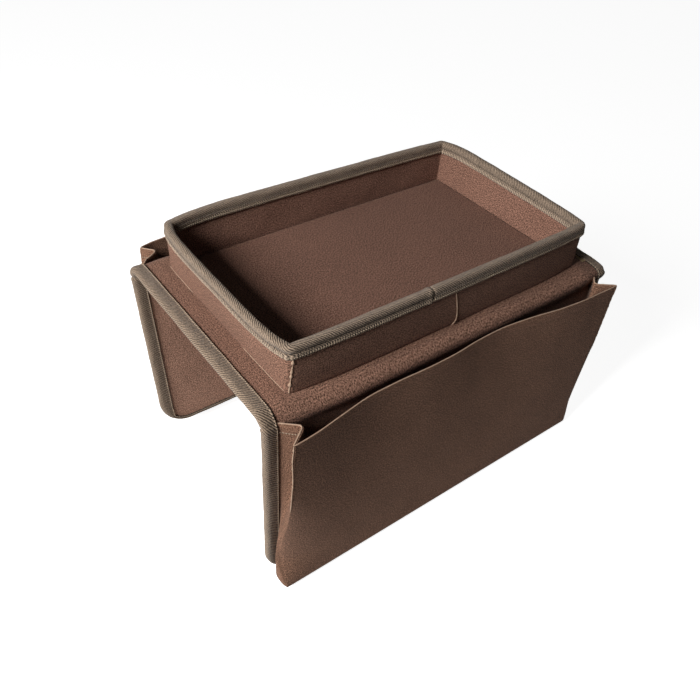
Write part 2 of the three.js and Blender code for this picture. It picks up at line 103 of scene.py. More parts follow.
# Tray
TRAY_LENGTH = 305.0
TRAY_WIDTH = 186.0
TRAY_CORNER = 6.0
WALL_FOOT = 191.2
WALL_TOP = 233.4
RIM_BOW = {"near": 1.5, "back": 5.0, "far": 4.5, "front": 5.5}
RIM_SKEW = {"near": 0.0, "back": 0.5, "far": 0.6, "front": 0.0}
BASE_BOW = {"near": 3.5, "back": 0.5, "far": 0.5, "front": 0.5}
FLOOR_TOP = 194.7
FLOOR_ROLL = 2.4

# Pockets
POCKET_DEPTH = 18.5
MOUTH = 184.0
HEM_LINE = MOUTH - 10.0
HEM_ROW = HEM_LINE + 1.6
FRONT_FOOT = 2.7
FRONT_END = 170.6
GUSSET_LINE = 168.6
GUSSET_CLOTH = 37.0
TAPE_INNER_FOOT = 17.4
TAPE_INNER_CORNER = 16.6

# How each side hangs. The cloth has slipped over to the far side: its shoulder stands further
# out by the reach, and its flap hangs higher by the rise. The tape is creased across at the
# shoulder, so far round it and so deep. A closing pocket is squeezed up to so far off its flap.
SIDES = {
    "near": {
        "lean": 0.0, "reach": 0.0, "rise": 0.0, "seed": 0.0, "crease_at": 12.5, "crease": 0.0,
        "mouth": 22.0, "back_pinch": 13.0, "front_pinch": 9.5, "belly": 0.0, "draw": 0.0,
        "swell": 7.5, "side_corner": 12.0, "front_corner": 3.5, "squeezed": 21.0,
    },
    "far": {
        "lean": np.radians(8.4), "reach": 8.0, "rise": 5.0, "seed": 2.4, "crease_at": 16.5,
        "crease": 1.0, "mouth": 24.3, "back_pinch": 0.0, "front_pinch": 0.0, "belly": 8.0,
        "draw": 12.5, "swell": 1.5, "side_corner": 22.0, "front_corner": 14.0, "squeezed": 22.0,
    },
}

low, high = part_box("top_cover")
SHIFT = np.array([(low.x + high.x) / 2, low.y, high.z]) / MM + [0, FLAT_END, -SADDLE_HEIGHT]


# ---- places and small formulas


def smoothstep(x, start, end):
    """3t^2 - 2t^3 of t, the share of the way from start to end, held between 0 and 1."""
    t = np.clip((x - start) / (end - start), 0, 1)
    return t * t * (3 - 2 * t)


def bell(x, middle, width):
    """exp(-t^2) of t, which is how many widths x is away from the middle."""
    return np.exp(-(((x - middle) / width) ** 2))


def quarter(t):
    """How far a quarter circle of radius 1 has dropped at t: 1 - sqrt(1 - t^2)."""
    return 1 - np.sqrt(1 - t ** 2)


def ripple(a, b, length, seed):
    """A soft unevenness from -1 to 1: three crossing sines whose lengths don't fit each other."""
    k = WAVE / length
    return (
        np.sin(k * (a + 0.31 * b) + seed)
        + np.sin(1.37 * k * (b - 0.27 * a) + 2.1 * seed + 1.3)
        + np.sin(0.73 * k * (0.8 * a + 0.9 * b) + 0.7 * seed + 4.0)
    ) / 3


def hung(points, side):
    """Points of a flap turned about the fold by the side's lean and moved out by its reach."""
    lean = SIDES[side]["lean"]
    c, s = np.cos(lean), np.sin(lean)
    y, z = points[..., 1] + FOLD_OUT, points[..., 2] - FOLD_HEIGHT
    turned = points.copy()
    turned[..., 1] = y * c - z * s - FOLD_OUT - SIDES[side]["reach"]
    turned[..., 2] = y * s + z * c + FOLD_HEIGHT
    return turned


def on_side(points, side):
    """Points drawn for the near side, put on their own: the far one is turned half way round."""
    return points * [-1, -1, 1] if side == "far" else points


def spot(x, y, z):
    """A place of the frame in metres."""
    return tuple(((np.array([x, y, z]) + SHIFT) * MM).tolist())


def unit(vectors):
    """Vectors divided by their lengths."""
    return vectors / np.maximum(np.linalg.norm(vectors, axis=-1, keepdims=True), 1e-12)


def lengths(points):
    """How far along a row of points each one is."""
    steps = np.linalg.norm(np.diff(points, axis=0), axis=-1)
    return np.concatenate([[0.0], np.cumsum(steps)])


def read_off(values, run, where):
    """Rows of numbers that are known at the places run, read off between them at other places."""
    return np.stack([np.interp(where, run, column) for column in values.T], -1)


def rounded(line, times):
    """A line of points with its corners cut at a quarter and three quarters of each span, so
    many times, its ends kept. The points are on the next to last axis."""
    for _ in range(times):
        first, last = line[..., :-1, :], line[..., 1:, :]
        cut = np.stack([0.75 * first + 0.25 * last, 0.25 * first + 0.75 * last], axis=-2)
        cut = cut.reshape(*line.shape[:-2], -1, line.shape[-1])
        line = np.concatenate([line[..., :1, :], cut, line[..., -1:, :]], axis=-2)
    return line


# ---- meshes


def add_object(name, data):
    """A mesh, lamp or camera put into the scene."""
    made = bpy.data.objects.new(name, data)
    bpy.context.scene.collection.objects.link(made)
    return made


def add_mesh(name, points, faces, cloth_of_corners, finish):
    """A mesh of points in millimetres, with its cloth's own coordinates, in metres, as UV map."""
    mesh = bpy.data.meshes.new(name)
    mesh.from_pydata((points + SHIFT) * MM, [], faces.tolist())
    layer = mesh.uv_layers.new(name="Cloth")
    layer.data.foreach_set("uv", (cloth_of_corners * MM).ravel())
    mesh.polygons.foreach_set("use_smooth", np.ones(len(mesh.polygons), bool))
    mesh.materials.append(finish)
    mesh.update()
    return add_object(name, mesh)


def quads(rows, columns, ring=False, first=0):
    """The four-cornered faces of a grid of points, numbered row by row from first."""
    span = np.arange(rows if ring else rows - 1)
    i, j = (index.ravel() for index in np.meshgrid(span, np.arange(columns - 1), indexing="ij"))
    i, k = i * columns + j, (i + 1) % rows * columns + j
    return first + np.stack([i, k, k + 1, i + 1], 1)


def quad_cloth(cloth):
    """The cloth coordinates of each corner of each face. A ring's have one row more than its
    points."""
    corners = [cloth[:-1, :-1], cloth[1:, :-1], cloth[1:, 1:], cloth[:-1, 1:]]
    return np.stack(corners, 2).reshape(-1, 2)


def sheet_piece(name, outside, inside, cloth, finish, ring=False):
    """A closed sheet between two grids of points, its outside and its inside: both have faces
    of their own, and a strip of faces joins them along each edge."""
    rows, columns = outside.shape[:2]
    count = rows * columns
    corner_cloth = quad_cloth(cloth).reshape(-1, 4, 2)
    faces = [quads(rows, columns, ring), quads(rows, columns, ring, count)[:, ::-1]]
    cloths = [corner_cloth, corner_cloth[:, ::-1]]

    def close(start, end, cloth_start, cloth_end, turn):
        faces.append(np.stack([start, end, count + end, count + start], 1)[:, ::turn])
        cloths.append(np.stack([cloth_start, cloth_end, cloth_end, cloth_start], 1)[:, ::turn])

    i = np.arange(rows if ring else rows - 1)
    for column, turn in ((0, -1), (columns - 1, 1)):
        start, end = i * columns + column, (i + 1) % rows * columns + column
        close(start, end, cloth[:-1, column], cloth[1:, column], turn)
    if not ring:
        j = np.arange(columns - 1)
        for row, turn in ((0, 1), (rows - 1, -1)):
            start = row * columns + j
            close(start, start + 1, cloth[row, :-1], cloth[row, 1:], turn)
    points = np.concatenate([outside.reshape(-1, 3), inside.reshape(-1, 3)])
    cloths = np.concatenate(cloths).reshape(-1, 2)
    piece = add_mesh(name, points, np.concatenate(faces), cloths, finish)
    if not ring:
        crisp_ends(piece, count, columns)
    return piece


def crisp_ends(piece, count, columns):
    """A sheet's first and last rows made crisp, so that two that meet are shaded as one."""
    mesh = piece.data
    pair = np.empty(2 * len(mesh.edges), np.int64)
    mesh.edges.foreach_get("vertices", pair)
    row = (pair.reshape(-1, 2) % count) // columns
    last = count // columns - 1
    crisp = (row[:, 0] == row[:, 1]) & ((row[:, 0] == 0) | (row[:, 0] == last))
    mesh.edges.foreach_set("use_edge_sharp", crisp)


def add_tubes(tubes, finish):
    """Tubes, each a row of rings with the same even number of points, closed at both ends by
    strips of faces across the ring."""
    count, rings, sides = tubes.shape[:3]
    i, j = np.meshgrid(np.arange(rings - 1), np.arange(sides), indexing="ij")
    i, j = i.ravel() * sides, j.ravel()
    k = (j + 1) % sides
    wall = np.stack([i + j, i + sides + j, i + sides + k, i + k], 1)
    a = np.arange(sides // 2 - 1)
    cap = np.stack([a, a + 1, sides - 2 - a, sides - 1 - a], 1)
    one = np.concatenate([wall, cap, cap[:, ::-1] + (rings - 1) * sides])
    faces = (one + np.arange(count)[:, None, None] * sides * rings).reshape(-1, 4)
    return add_mesh("tubes", tubes.reshape(-1, 3), faces, np.zeros((faces.size, 2)), finish)


def merged(points, faces):
    """Points that share a place made one."""
    keys = np.round(points * 200).astype(np.int64)
    _, first, inverse = np.unique(keys, axis=0, return_index=True, return_inverse=True)
    return points[first], inverse.reshape(-1)[faces]


def joined(name, pieces):
    """Several pieces made one, which gets the name."""
    with bpy.context.temp_override(
        active_object=pieces[0], object=pieces[0],
        selected_objects=pieces, selected_editable_objects=pieces,
    ):
        bpy.ops.object.join()
    pieces[0].name = name
    pieces[0].data.name = name
    return pieces[0]


# ---- finishes


class Tone:
    """A number that shader nodes work out, so that a formula can be written with + - and *."""

    def __init__(self, tree, socket):
        self.tree, self.socket = tree, socket

    def math(self, operation, other=0.0):
        """This number and another one put through a math node."""
        made = self.tree.nodes.new("ShaderNodeMath")
        made.operation = operation
        for socket, value in zip(made.inputs, (self, other)):
            if isinstance(value, Tone):
                self.tree.links.new(value.socket, socket)
            else:
                socket.default_value = value
        return Tone(self.tree, made.outputs[0])

    def __add__(self, other):
        return self.math("ADD", other)

    def __sub__(self, other):
        return self.math("SUBTRACT", other)

    def __mul__(self, other):
        return self.math("MULTIPLY", other)

    __radd__, __rmul__ = __add__, __mul__

    def wave(self, length):
        """The sine of this number, with that length from crest to crest."""
        return (self * (WAVE / length)).math("SINE")

    def into(self, socket):
        """This number given to a node."""
        self.tree.links.new(self.socket, socket)


def add_node(tree, kind, vector, **values):
    """A node that is fed a vector, with the values set on its sockets or on itself."""
    made = tree.nodes.new(kind)
    for key, value in values.items():
        if hasattr(made, key):
            setattr(made, key, value)
        else:
            made.inputs[key.replace("_", " ")].default_value = value
    tree.links.new(vector, made.inputs[0])
    return made


def coordinates(tree, kind):
    """The coordinates of that kind: UV along the cloth or Object in the room."""
    return tree.nodes.new("ShaderNodeTexCoord").outputs[kind]


def noise(tree, vector, scale, detail=1.0, rough=0.5):
    """A noise from 0 to 1 with 1/scale as the size of its patches, in the unit of the vector."""
    made = add_node(
        tree, "ShaderNodeTexNoise", vector, Scale=scale, Detail=detail, Roughness=rough
    )
    return Tone(tree, made.outputs["Fac"])


def spread(tree, vector, x, y):
    """The coordinates scaled by x and y."""
    return add_node(tree, "ShaderNodeMapping", vector, Scale=(x, y, 1.0)).outputs["Vector"]


def cloth_place(tree):
    """The cloth's coordinates in millimetres, as a vector and as its two numbers."""
    place = spread(tree, coordinates(tree, "UV"), 1 / MM, 1 / MM)
    split = add_node(tree, "ShaderNodeSeparateXYZ", place)
    return place, Tone(tree, split.outputs["X"]), Tone(tree, split.outputs["Y"])


def new_finish(name, roughness, sheen=0.0, specular=0.1):
    """A material of one shader, with its node tree and that shader."""
    material = bpy.data.materials.new(name)
    material.use_nodes = True
    shader = material.node_tree.nodes["Principled BSDF"]
    shader.inputs["Roughness"].default_value = roughness
    shader.inputs["Specular IOR Level"].default_value = specular
    shader.inputs["Sheen Weight"].default_value = sheen
    shader.inputs["Sheen Roughness"].default_value = 0.5
    return material, material.node_tree, shader


def colour_by(tree, shader, colour, level):
    """A colour times a number, on the shader."""
    made = tree.nodes.new("ShaderNodeVectorMath")
    made.operation = "SCALE"
    made.inputs[0].default_value = colour
    level.into(made.inputs["Scale"])
    tree.links.new(made.outputs[0], shader.inputs["Base Color"])


def raise_by(tree, shader, height, distance):
    """The shader's surface raised by a number, up to that distance in metres for each 1."""
    bump = tree.nodes.new("ShaderNodeBump")
    bump.inputs["Strength"].default_value = 0.6
    bump.inputs["Distance"].default_value = distance
    height.into(bump.inputs["Height"])
    tree.links.new(bump.outputs["Normal"], shader.inputs["Normal"])


def woven_polyester(name, colour, speckle=3.3):
    """Plain weave of two-tone yarn. The weave is the product of one sine across the warp and one
    across the weft; the yarns' own tones are two noises drawn out along each way, and a fine
    speckle and a wide cloudiness lie over them."""
    material, tree, shader = new_finish(name, 0.92, 0.04)
    place, x, y = cloth_place(tree)
    pitch, drawn_out = 1.6, 0.13
    weave = x.wave(pitch) * y.wave(pitch)
    warp = noise(tree, spread(tree, place, 1.0, drawn_out), 1.0)
    weft = noise(tree, spread(tree, place, drawn_out, 1.0), 1.0)
    grains = noise(tree, place, 0.95, 2.0, 0.75)
    clouds = noise(tree, coordinates(tree, "Object"), 28, 2.0)
    level = 0.5 * (warp + weft) + 2 * speckle * grains + 0.3 * clouds + 0.28 * weave
    colour_by(tree, shader, colour, (level + (0.35 - speckle)).math("MAXIMUM", 0.2))
    raise_by(tree, shader, 0.35 * weave + warp + weft + grains, 0.00028)
    return material


def twill_tape(name, colour, tones, beaded):
    """Twill tape: slanting ribs from one sine of the sum of both ways, broken up by noise. A
    curve over the width gives its tones, from one edge to the fold and back to the other, and a
    sine along the tape beads a strip of that width beside each edge."""
    material, tree, shader = new_finish(name, 0.85, 0.1)
    place, u, v = cloth_place(tree)
    rib_pitch = 2.2
    ribs = (u + v + 1.2 * noise(tree, place, 0.5)).wave(rib_pitch)
    yarns = noise(tree, place, 0.85, 2.0, 0.7)
    blotches = noise(tree, spread(tree, place, 0.07, 0.16), 1.0, 2.0)
    width = float(2 * tones[-1][0])
    across = v.math("DIVIDE", width)
    curve = add_node(tree, "ShaderNodeValToRGB", across.socket)
    tones = [(place / width, tone) for place, tone in tones]
    tones += [(1 - place, tone) for place, tone in tones[-2::-1]]
    stops = curve.color_ramp.elements
    for k, (place, tone) in enumerate(tones):
        stop = stops[k] if k < 2 else stops.new(place)
        stop.position = place
        stop.color = (tone / 2,) * 3 + (1,)
    at_edge = (across - 0.5).math("ABSOLUTE").math("GREATER_THAN", 0.5 - beaded / width)
    relief = 0.6 * ribs + 0.8 * (at_edge * u.wave(STITCH_PITCH)) + 1.0
    level = 2.0 * Tone(tree, curve.outputs[0]) * relief + 3.0 * yarns + 0.7 * blotches
    colour_by(tree, shader, colour, (level - 1.85).math("MAXIMUM", 0.12))
    raise_by(tree, shader, 0.6 * ribs + yarns, 0.0008)
    return material


def plain_fibre(name, colour, size, contrast, roughness=0.95, sheen=0.0):
    """Fibres or pulp without a weave: one fine noise over one wide one."""
    material, tree, shader = new_finish(name, roughness, sheen)
    place = coordinates(tree, "Object")
    fine = noise(tree, place, 1 / (size * MM), 3.0, 0.7)
    level = 2 * contrast * fine + 0.2 * noise(tree, place, 40) + (0.9 - contrast)
    colour_by(tree, shader, colour, level)
    raise_by(tree, shader, fine, 0.0002)
    return material


def srgb(red, green, blue):
    """A colour of three numbers from 0 to 255 as light: ((c + 0.055) / 1.055)^2.4, or c / 12.92
    where it is dark."""
    c = np.array([red, green, blue]) / 255
    return np.where(c <= 0.04045, c / 12.92, ((c + 0.055) / 1.055) ** 2.4).tolist()


# The tapes' sections: how far each point is out past the panel's edge and off its face. The
# saddle's lies flat up to its edge, and the rim's is sewn in a groove with a full, puckered row
# beside it.
TAPE_REACH = 9.9
EDGE_OUTLINE = [
    (-TAPE_REACH, 0.05), (-10.05, 0.7), (-9.75, 1.3), (-9.1, 1.5), (-8.3, 1.45), (-7.4, 1.4),
    (-6.6, 1.42), (-5.6, 1.5), (-3.4, 1.55), (-1.0, 1.35), (0.6, 0.4), (1.2, -1.0),
]
RIM_OUTLINE = [
    (-TAPE_REACH, 0.05), (-10.05, 0.7), (-9.8, 1.4), (-9.0, 1.8), (-6.2, 1.8), (-5.2, 1.4),
    (-4.5, 0.75), (-3.8, 1.15), (-2.4, 1.5), (-0.8, 1.3), (0.6, 0.4), (1.2, -1.0),
]
TAPE_LINING = [
    (-9.85, 0.02), (-9.4, 0.04), (-8.8, 0.05), (-8.2, 0.05), (-7.6, 0.06), (-7.0, 0.08),
    (-5.0, 0.1), (-4.0, 0.1), (-3.0, 0.12), (-2.0, 0.12), (0.2, -0.3), (0.3, -1.2),
]


def tape_section(outline):
    """The tape folded over a panel: its outer and inner outlines, from one stitched edge over the
    fold to the other, with how far across the tape each point is and which way is off it."""
    lines = []
    for half in (outline, TAPE_LINING):
        leg = np.array(half) + [0, HALF]
        lines.append(rounded(np.concatenate([leg, leg[::-1] * [1, -1]]), 1))
    outer, inner = lines
    way = unit(np.gradient(outer, axis=0))
    return outer, inner, lengths(outer), np.stack([-way[:, 1], way[:, 0]], 1)


EDGE_WIDTH = tape_section(EDGE_OUTLINE)[2][-1]
RIM_WIDTH = tape_section(RIM_OUTLINE)[2][-1]

# Tones of the tapes: how far in from a tape's edge, and how light it is there. The dark strip
# at each edge is painted shadow where the tape stands off the cloth, and the rim's dip at 7 mm
# is painted shade in its groove. The light strip beside each edge and the lighter fold are
# partly wear and partly painted highlight.
EDGE_TONES = [
    (0.0, 0.12), (1.5, 0.2), (1.9, 1.7), (2.8, 1.6), (3.4, 0.85), (4.2, 1.0), (8.0, 1.08),
    (12.0, 1.2), (EDGE_WIDTH / 2, 1.5),
]
RIM_TONES = [
    (0.0, 0.12), (1.3, 0.2), (1.8, 1.35), (2.6, 1.5), (5.0, 1.3), (6.2, 0.9), (7.0, 0.5),
    (7.8, 0.85), (9.5, 1.1), (12.5, 1.2), (RIM_WIDTH / 2, 1.25),
]

COVER = woven_polyester("cover_cloth", srgb(121, 90, 75))
LINING = woven_polyester("lining_cloth", srgb(122, 90, 76))
# The floor's darker tone is painted shade, for the shade of the walls down in the tray.
SHADED_FLOOR_CLOTH = woven_polyester("tray_floor_shaded_weave", srgb(110, 80, 67))
# Lighter than the cover: partly lighter cloth, partly painted light on the far flap's inside.
LIT_UNDERSIDE = woven_polyester("underside_cloth", srgb(153, 118, 100), speckle=2.4)
# A little darker than the cover: painted shade on the pockets' fronts, turned from the lamp.
SHADED_POCKET_CLOTH = woven_polyester("pocket_cloth", srgb(117, 87, 70), speckle=3.0)
# One tape in two tones: painted shade on the flaps' edges, painted light on the tray's rim.
SHADED_EDGE_TAPE = twill_tape("edge_tape", srgb(115, 99, 84), EDGE_TONES, beaded=3.0)
LIT_RIM_TAPE = twill_tape("rim_tape", srgb(123, 107, 92), RIM_TONES, beaded=5.6)
THREAD = plain_fibre("sewing_thread", srgb(158, 141, 121), 0.5, 0.2, 0.7, 0.1)
HEM_THREAD = plain_fibre("hem_thread", srgb(112, 86, 72), 0.5, 0.2, 0.7, 0.1)
# Light fine edges: partly worn cloth, partly painted highlight where folds catch the lamp.
EDGE_WEAR_AND_HIGHLIGHT = plain_fibre("folded_edge", srgb(172, 144, 122), 0.9, 0.5, 0.9, 0.1)
FELT = plain_fibre("needled_felt", srgb(92, 84, 78), 0.8, 0.35)
BOARD = plain_fibre("grey_board", srgb(160, 138, 106), 1.2, 0.15)


# ---- stitches and fine edges


def stitch_row(points, off, finish, length=1.5, thick=0.28, closed=False):
    """Thread stitches along a line. Each is a bent bar of six sides whose middle stands off the
    cloth by the height 1 - t^2 and whose ends dip into it. Points and the directions off the
    cloth are given along the line."""
    if closed:
        points, off = np.concatenate([points, points[:1]]), np.concatenate([off, off[:1]])
    run = lengths(points)
    count = int(run[-1] // STITCH_PITCH)
    middle = (np.arange(count) + 0.5) * run[-1] / count
    up = unit(read_off(off, run, middle))
    nearby = 0.4
    along = unit(read_off(points, run, middle + nearby) - read_off(points, run, middle - nearby))
    side = unit(np.cross(along, up))
    t, angle = np.meshgrid(np.linspace(-1, 1, 5), np.arange(6) * np.pi / 3, indexing="ij")
    narrow = thick * (1 - 0.35 * t ** 2)
    raised = 0.45 * (1 - t ** 2) - 0.2
    bar = [t * length / 2, narrow * np.cos(angle), narrow * np.sin(angle) + raised]
    tubes = read_off(points, run, middle)[:, None, None]
    for size, way in zip(bar, (along, side, up)):
        tubes = tubes + size[..., None] * way[:, None, None]
    return add_tubes(tubes, finish)


def fine_edge(points, off, wide, high, rough=0.25):
    """A raw or folded edge of cloth that shows as a fine raised line: a ring of eight points
    carried along it, wide by high, uneven by its roughness and tapering at its ends. Its light
    finish is partly wear and partly painted highlight."""
    run = lengths(points)
    side = unit(np.cross(unit(np.gradient(points, axis=0)), off))
    angle = np.arange(8)[:, None] * np.pi / 4
    ring = wide * np.cos(angle) * side[:, None] + high * np.sin(angle) * off[:, None]
    taper = np.sqrt(np.clip(np.minimum(run, run[-1] - run) / 2.0, 0.02, 1))
    uneven = 1 + rough * ripple(run, 0, 4.0, 1.0)
    tube = points[:, None] + ring * (taper * uneven)[:, None, None]
    return add_tubes(tube[None], EDGE_WEAR_AND_HIGHLIGHT)


# ---- saddle


def shoulder_turn(side):
    """Where the middle line starts and ends its turn over a shoulder, by how much it turns, and
    the radius of the arc between the two."""
    spec = SIDES[side]
    start = np.array([-FLAT_END - FOLD_GAP - spec["reach"], SADDLE_HEIGHT - HALF])
    end = hung(np.array([0.0, -FACE_OUT + HALF, FLAP_TOP + FOLD_GAP]), side)[1:]
    turn = np.pi / 2 + spec["lean"]
    return start, end, turn, np.linalg.norm(end - start) / (2 * np.sin(turn / 2))


def side_line(side):
    """The middle line of one side's panel in the plane across the armrest: straight from the
    middle of the top, one cubic curve round the shoulder, and straight down the flap. Gives
    points, ways off the panel and how far along they are."""
    start, end, turn, radius = shoulder_turn(side)
    handle = 4 / 3 * np.tan(turn / 4) * radius
    above, foot = (
        hung(np.array([0.0, -FACE_OUT + HALF, z]), side)[1:]
        for z in (FLAP_TOP + FOLD_GAP + handle, FLAP_BOTTOM + SIDES[side]["rise"])
    )
    t = np.linspace(0, 1, 25)[:, None]
    curve = (1 - t) ** 3 * start + 3 * (1 - t) ** 2 * t * (start - [handle, 0])
    curve += 3 * (1 - t) * t ** 2 * above + t ** 3 * end
    top = np.linspace([0.0, SADDLE_HEIGHT - HALF], start, 32)[:-1]
    line = np.concatenate([top, curve, np.linspace(end, foot, 70)[1:]])
    way = unit(np.gradient(line, axis=0))
    return line, np.stack([way[:, 1], -way[:, 0]], 1), lengths(line)


def shoulder_end(side):
    """How far along the middle line the flap's straight part starts."""
    return side_line(side)[2][-1] - (FLAP_TOP - FLAP_BOTTOM - SIDES[side]["rise"])


def lifted(side, x, s):
    """How far a side's panel stands out of its even bend at a place along and down it: but for
    its front end the near shoulder keeps a squarer corner, a bell shape down it, and its back
    end sags beside the tray."""
    if side == "far":
        return 0 * x * s
    corner = SHOULDER_FULLNESS * bell(s, FLAT_END + 13.5, 6.0) * smoothstep(x, -175.0, -100.0)
    sag = BACK_SAG * smoothstep(x, 150.0, 176.0)
    return corner - sag * smoothstep(s, 55.0, 92.0) * (1 - smoothstep(s, 108.0, 125.0))


def half_length(left):
    """Half the flap's length that far up from its foot: its corners are quarter circles."""
    drop = np.clip(FLAP_CORNER - left, 0, FLAP_CORNER)
    return PANEL_END - FLAP_CORNER + np.sqrt(FLAP_CORNER ** 2 - drop ** 2)


def saddle_sheet(name, side, facing, finish):
    """The outer (facing 1) or inner (facing -1) cloth of a side: the middle line carried along
    the armrest at half the panel's thickness, with soft unevenness that fades towards the tape,
    long creases round the shoulder and, on the near side, a narrow valley along the tray's
    foot."""
    seed = SIDES[side]["seed"] + facing
    line, off, run = side_line(side)
    total = run[-1]
    low_rows = FLAP_CORNER * (1 - np.cos(np.linspace(0, np.pi / 2, 14)))
    down = np.concatenate([run[total - run > FLAP_CORNER + 1], total - low_rows[::-1]])
    place, away = read_off(line, run, down)[:, None], unit(read_off(off, run, down))[:, None]
    down = down[:, None]
    x = np.linspace(-1, 1, 131) * (half_length(total - down) - 0.6)
    from_end = PANEL_END - np.abs(x)
    edge = np.minimum(from_end, total - down)
    beside_tray = TRAY_LENGTH / 2 + 7 - np.abs(x)
    under_tray = smoothstep(beside_tray, 0.0, 6.0) * smoothstep(FLAT_END + 5 - down, 0.0, 4.0)
    free = smoothstep(edge, 8.0, 26.0) * (1 - under_tray) * smoothstep(down, 0.0, 30.0)
    lift = np.maximum(0.5 * free * (ripple(x, down, 70.0, seed) + 0.5), 0)
    lift = lift + 0.12 * free * (1 + ripple(x, 1.6 * down, 23.0, seed + 1))
    bend = bell(down, FLAT_END + SIDES[side]["reach"] + 8, 11)
    lift += bend * free * (0.5 + 0.45 * ripple(0.22 * x, 2.0 * down, 26.0, seed + 3))
    if side == "near" and facing > 0:
        lift -= bell(down, FLAT_END + 4.8, 1.9) * smoothstep(from_end, 25.0, 45.0)
    lift += 0.3 * bell(edge, 12.5, 2.2) * (1 + 0.4 * np.sin(0.7 * x + 0.5 * down))
    grids = []
    for depth in (0.0, CLOTH):
        stand = facing * (HALF + lift - depth) + lifted(side, x, down)
        grid = np.concatenate([x[..., None], place + stand[..., None] * away], 2)
        grids.append(on_side(grid, side))
    grids.append(np.stack([x, down + 0 * x], 2) * (-1 if side == "far" else 1))
    grids = [grid[:, ::facing] for grid in grids]
    return sheet_piece(name, *grids, finish), float(total)


def edge_stations(side, step):
    """Where the tape runs round a side: from the middle of the front end, over the shoulder, down
    the flap, round its foot and back. Gives points on the panel's edge, the ways out of it and
    off it, and the length so far. The panel is laid flat and carried over by the middle line."""
    line, off, run = side_line(side)
    above, before = run[-1] - FLAP_CORNER, PANEL_END - FLAP_CORNER
    straight = np.arange(0, above, step)
    corner = np.linspace(0, np.pi / 2, int(FLAP_CORNER * np.pi / 2 / step) + 1)
    foot = np.append(np.arange(step, before, step), before)
    angle = np.concatenate([0 * straight, corner, np.pi / 2 + 0 * foot])
    ox, os = -np.cos(angle), np.sin(angle)
    x = FLAP_CORNER * ox + np.concatenate([0 * straight, 0 * corner, foot]) - before
    s = FLAP_CORNER * os + np.concatenate([straight, 0 * corner + above, 0 * foot + above])
    x, ox = (np.concatenate([half, -half[-2::-1]]) for half in (x, ox))
    s, os = (np.concatenate([half, half[-2::-1]]) for half in (s, os))
    away = unit(read_off(off, run, s))
    place = read_off(line, run, s) + lifted(side, x, s)[:, None] * away
    points = np.column_stack([x, place])
    out = np.column_stack([ox, -os * away[:, 1], os * away[:, 0]])
    return points, out, np.column_stack([0 * x, away]), lengths(points), s


def tape_piece(name, points, out, across, run, outline, puckers, finish, ring=False, leg=1.0):
    """Tape carried round an edge: its section's two numbers times the ways out of the edge and
    off the panel, at each place. Puckers is how far each place of each station stands off the
    tape, and leg is the share of the inner leg's width that each station has."""
    outer, inner, width, normal = tape_section(outline)
    leg = np.broadcast_to(leg, len(points))[:, None]
    out, across = out[:, None], across[:, None]

    def put(section):
        on_inner_leg = (section[:, 0] <= 0) & (section[:, 1] < 0)
        reach_in = section[:, 0] * np.where(on_inner_leg, leg, 1.0)
        return points[:, None] + reach_in[..., None] * out + section[:, 1:] * across

    outside = put(outer) + puckers[..., None] * (normal[:, :1] * out + normal[:, 1:] * across)
    if ring:
        run = np.append(run, run[-1] + np.linalg.norm(points[0] - points[-1]))
    cloth = np.stack(np.meshgrid(run, width, indexing="ij"), 2)
    facing = np.cross(points[1] - points[0], across[0, 0]) @ out[0, 0]
    turn = -1 if facing > 0 else 1
    grids = [grid[:, ::turn] for grid in (outside, put(inner), cloth)]
    return sheet_piece(name, *grids, finish, ring)


def tape_puckers(outline, run, seed, bunched, row, pull):
    """How far the tape stands off: drawn in between stitches along both rows, a little uneven,
    and gathered along its inner edges where the edge turns."""
    width = tape_section(outline)[2]
    from_edge = np.minimum(width, width[-1] - width)
    run = run[:, None]
    pulled = pull * bell(from_edge, row / 2, row / 3) * np.sin(WAVE * run / STITCH_PITCH)
    uneven = 0.16 * ripple(run, 1.5 * width, 31.0, seed) + 0.07 * ripple(run, width, 8.0, seed + 1)
    gathers = 0.28 * bunched[:, None] * bell(from_edge, 0.0, 5.0) * np.sin(WAVE * run / 2.7)
    return pulled + uneven + gathers


def add_edge_tape(side):
    """The tape round one side with its two rows of stitches, and a crease across it where each
    shoulder starts to bend. Along the flap's foot its inner leg is only 3 mm wide: it ends on the
    straight line of the upright tape's edge carried down."""
    spec = SIDES[side]
    points, out, across, run, s = edge_stations(side, 0.85)
    at_corner = bell(s, side_line(side)[2][-1] - 0.4 * FLAP_CORNER, 16)
    at_corner = at_corner * (np.abs(points[:, 0]) > PANEL_END - FLAP_CORNER - 4)
    puckers = tape_puckers(EDGE_OUTLINE, run, spec["seed"], at_corner, 3.0, 0.15)
    past = s - (FLAT_END + spec["reach"] + spec["crease_at"])
    puckers -= (0.55 * bell(past, 0, 0.9) - 0.3 * bell(past, 2.2, 1.5))[:, None]
    points = points - (spec["crease"] * bell(past, 0, 1.7))[:, None] * out
    upright = np.abs(out[:, 0])
    drawn_down = (TAPE_REACH - FLAP_CORNER * (1 - upright)) / np.maximum(upright, 0.2)
    leg = np.maximum(FOOT_LEG, drawn_down) / TAPE_REACH
    placed = [on_side(values, side) for values in (points, out, across)]
    piece = tape_piece(f"{side}_edge_tape", *placed, run, EDGE_OUTLINE, puckers, SHADED_EDGE_TAPE, leg=leg)
    rows = []
    for face, share in ((1, 1 + 0 * leg), (-1, leg)):
        seat = on_side(points - EDGE_ROW * share[:, None] * out + face * EDGE_SEAT * across, side)
        rows.append(stitch_row(seat, face * placed[2], THREAD))
    return piece, joined(f"{side}_edge_stitches", rows), float(run[-1])


# ---- tray


WALLS = {"near": (0, -1), "back": (1, 0), "far": (0, 1), "front": (-1, 0)}


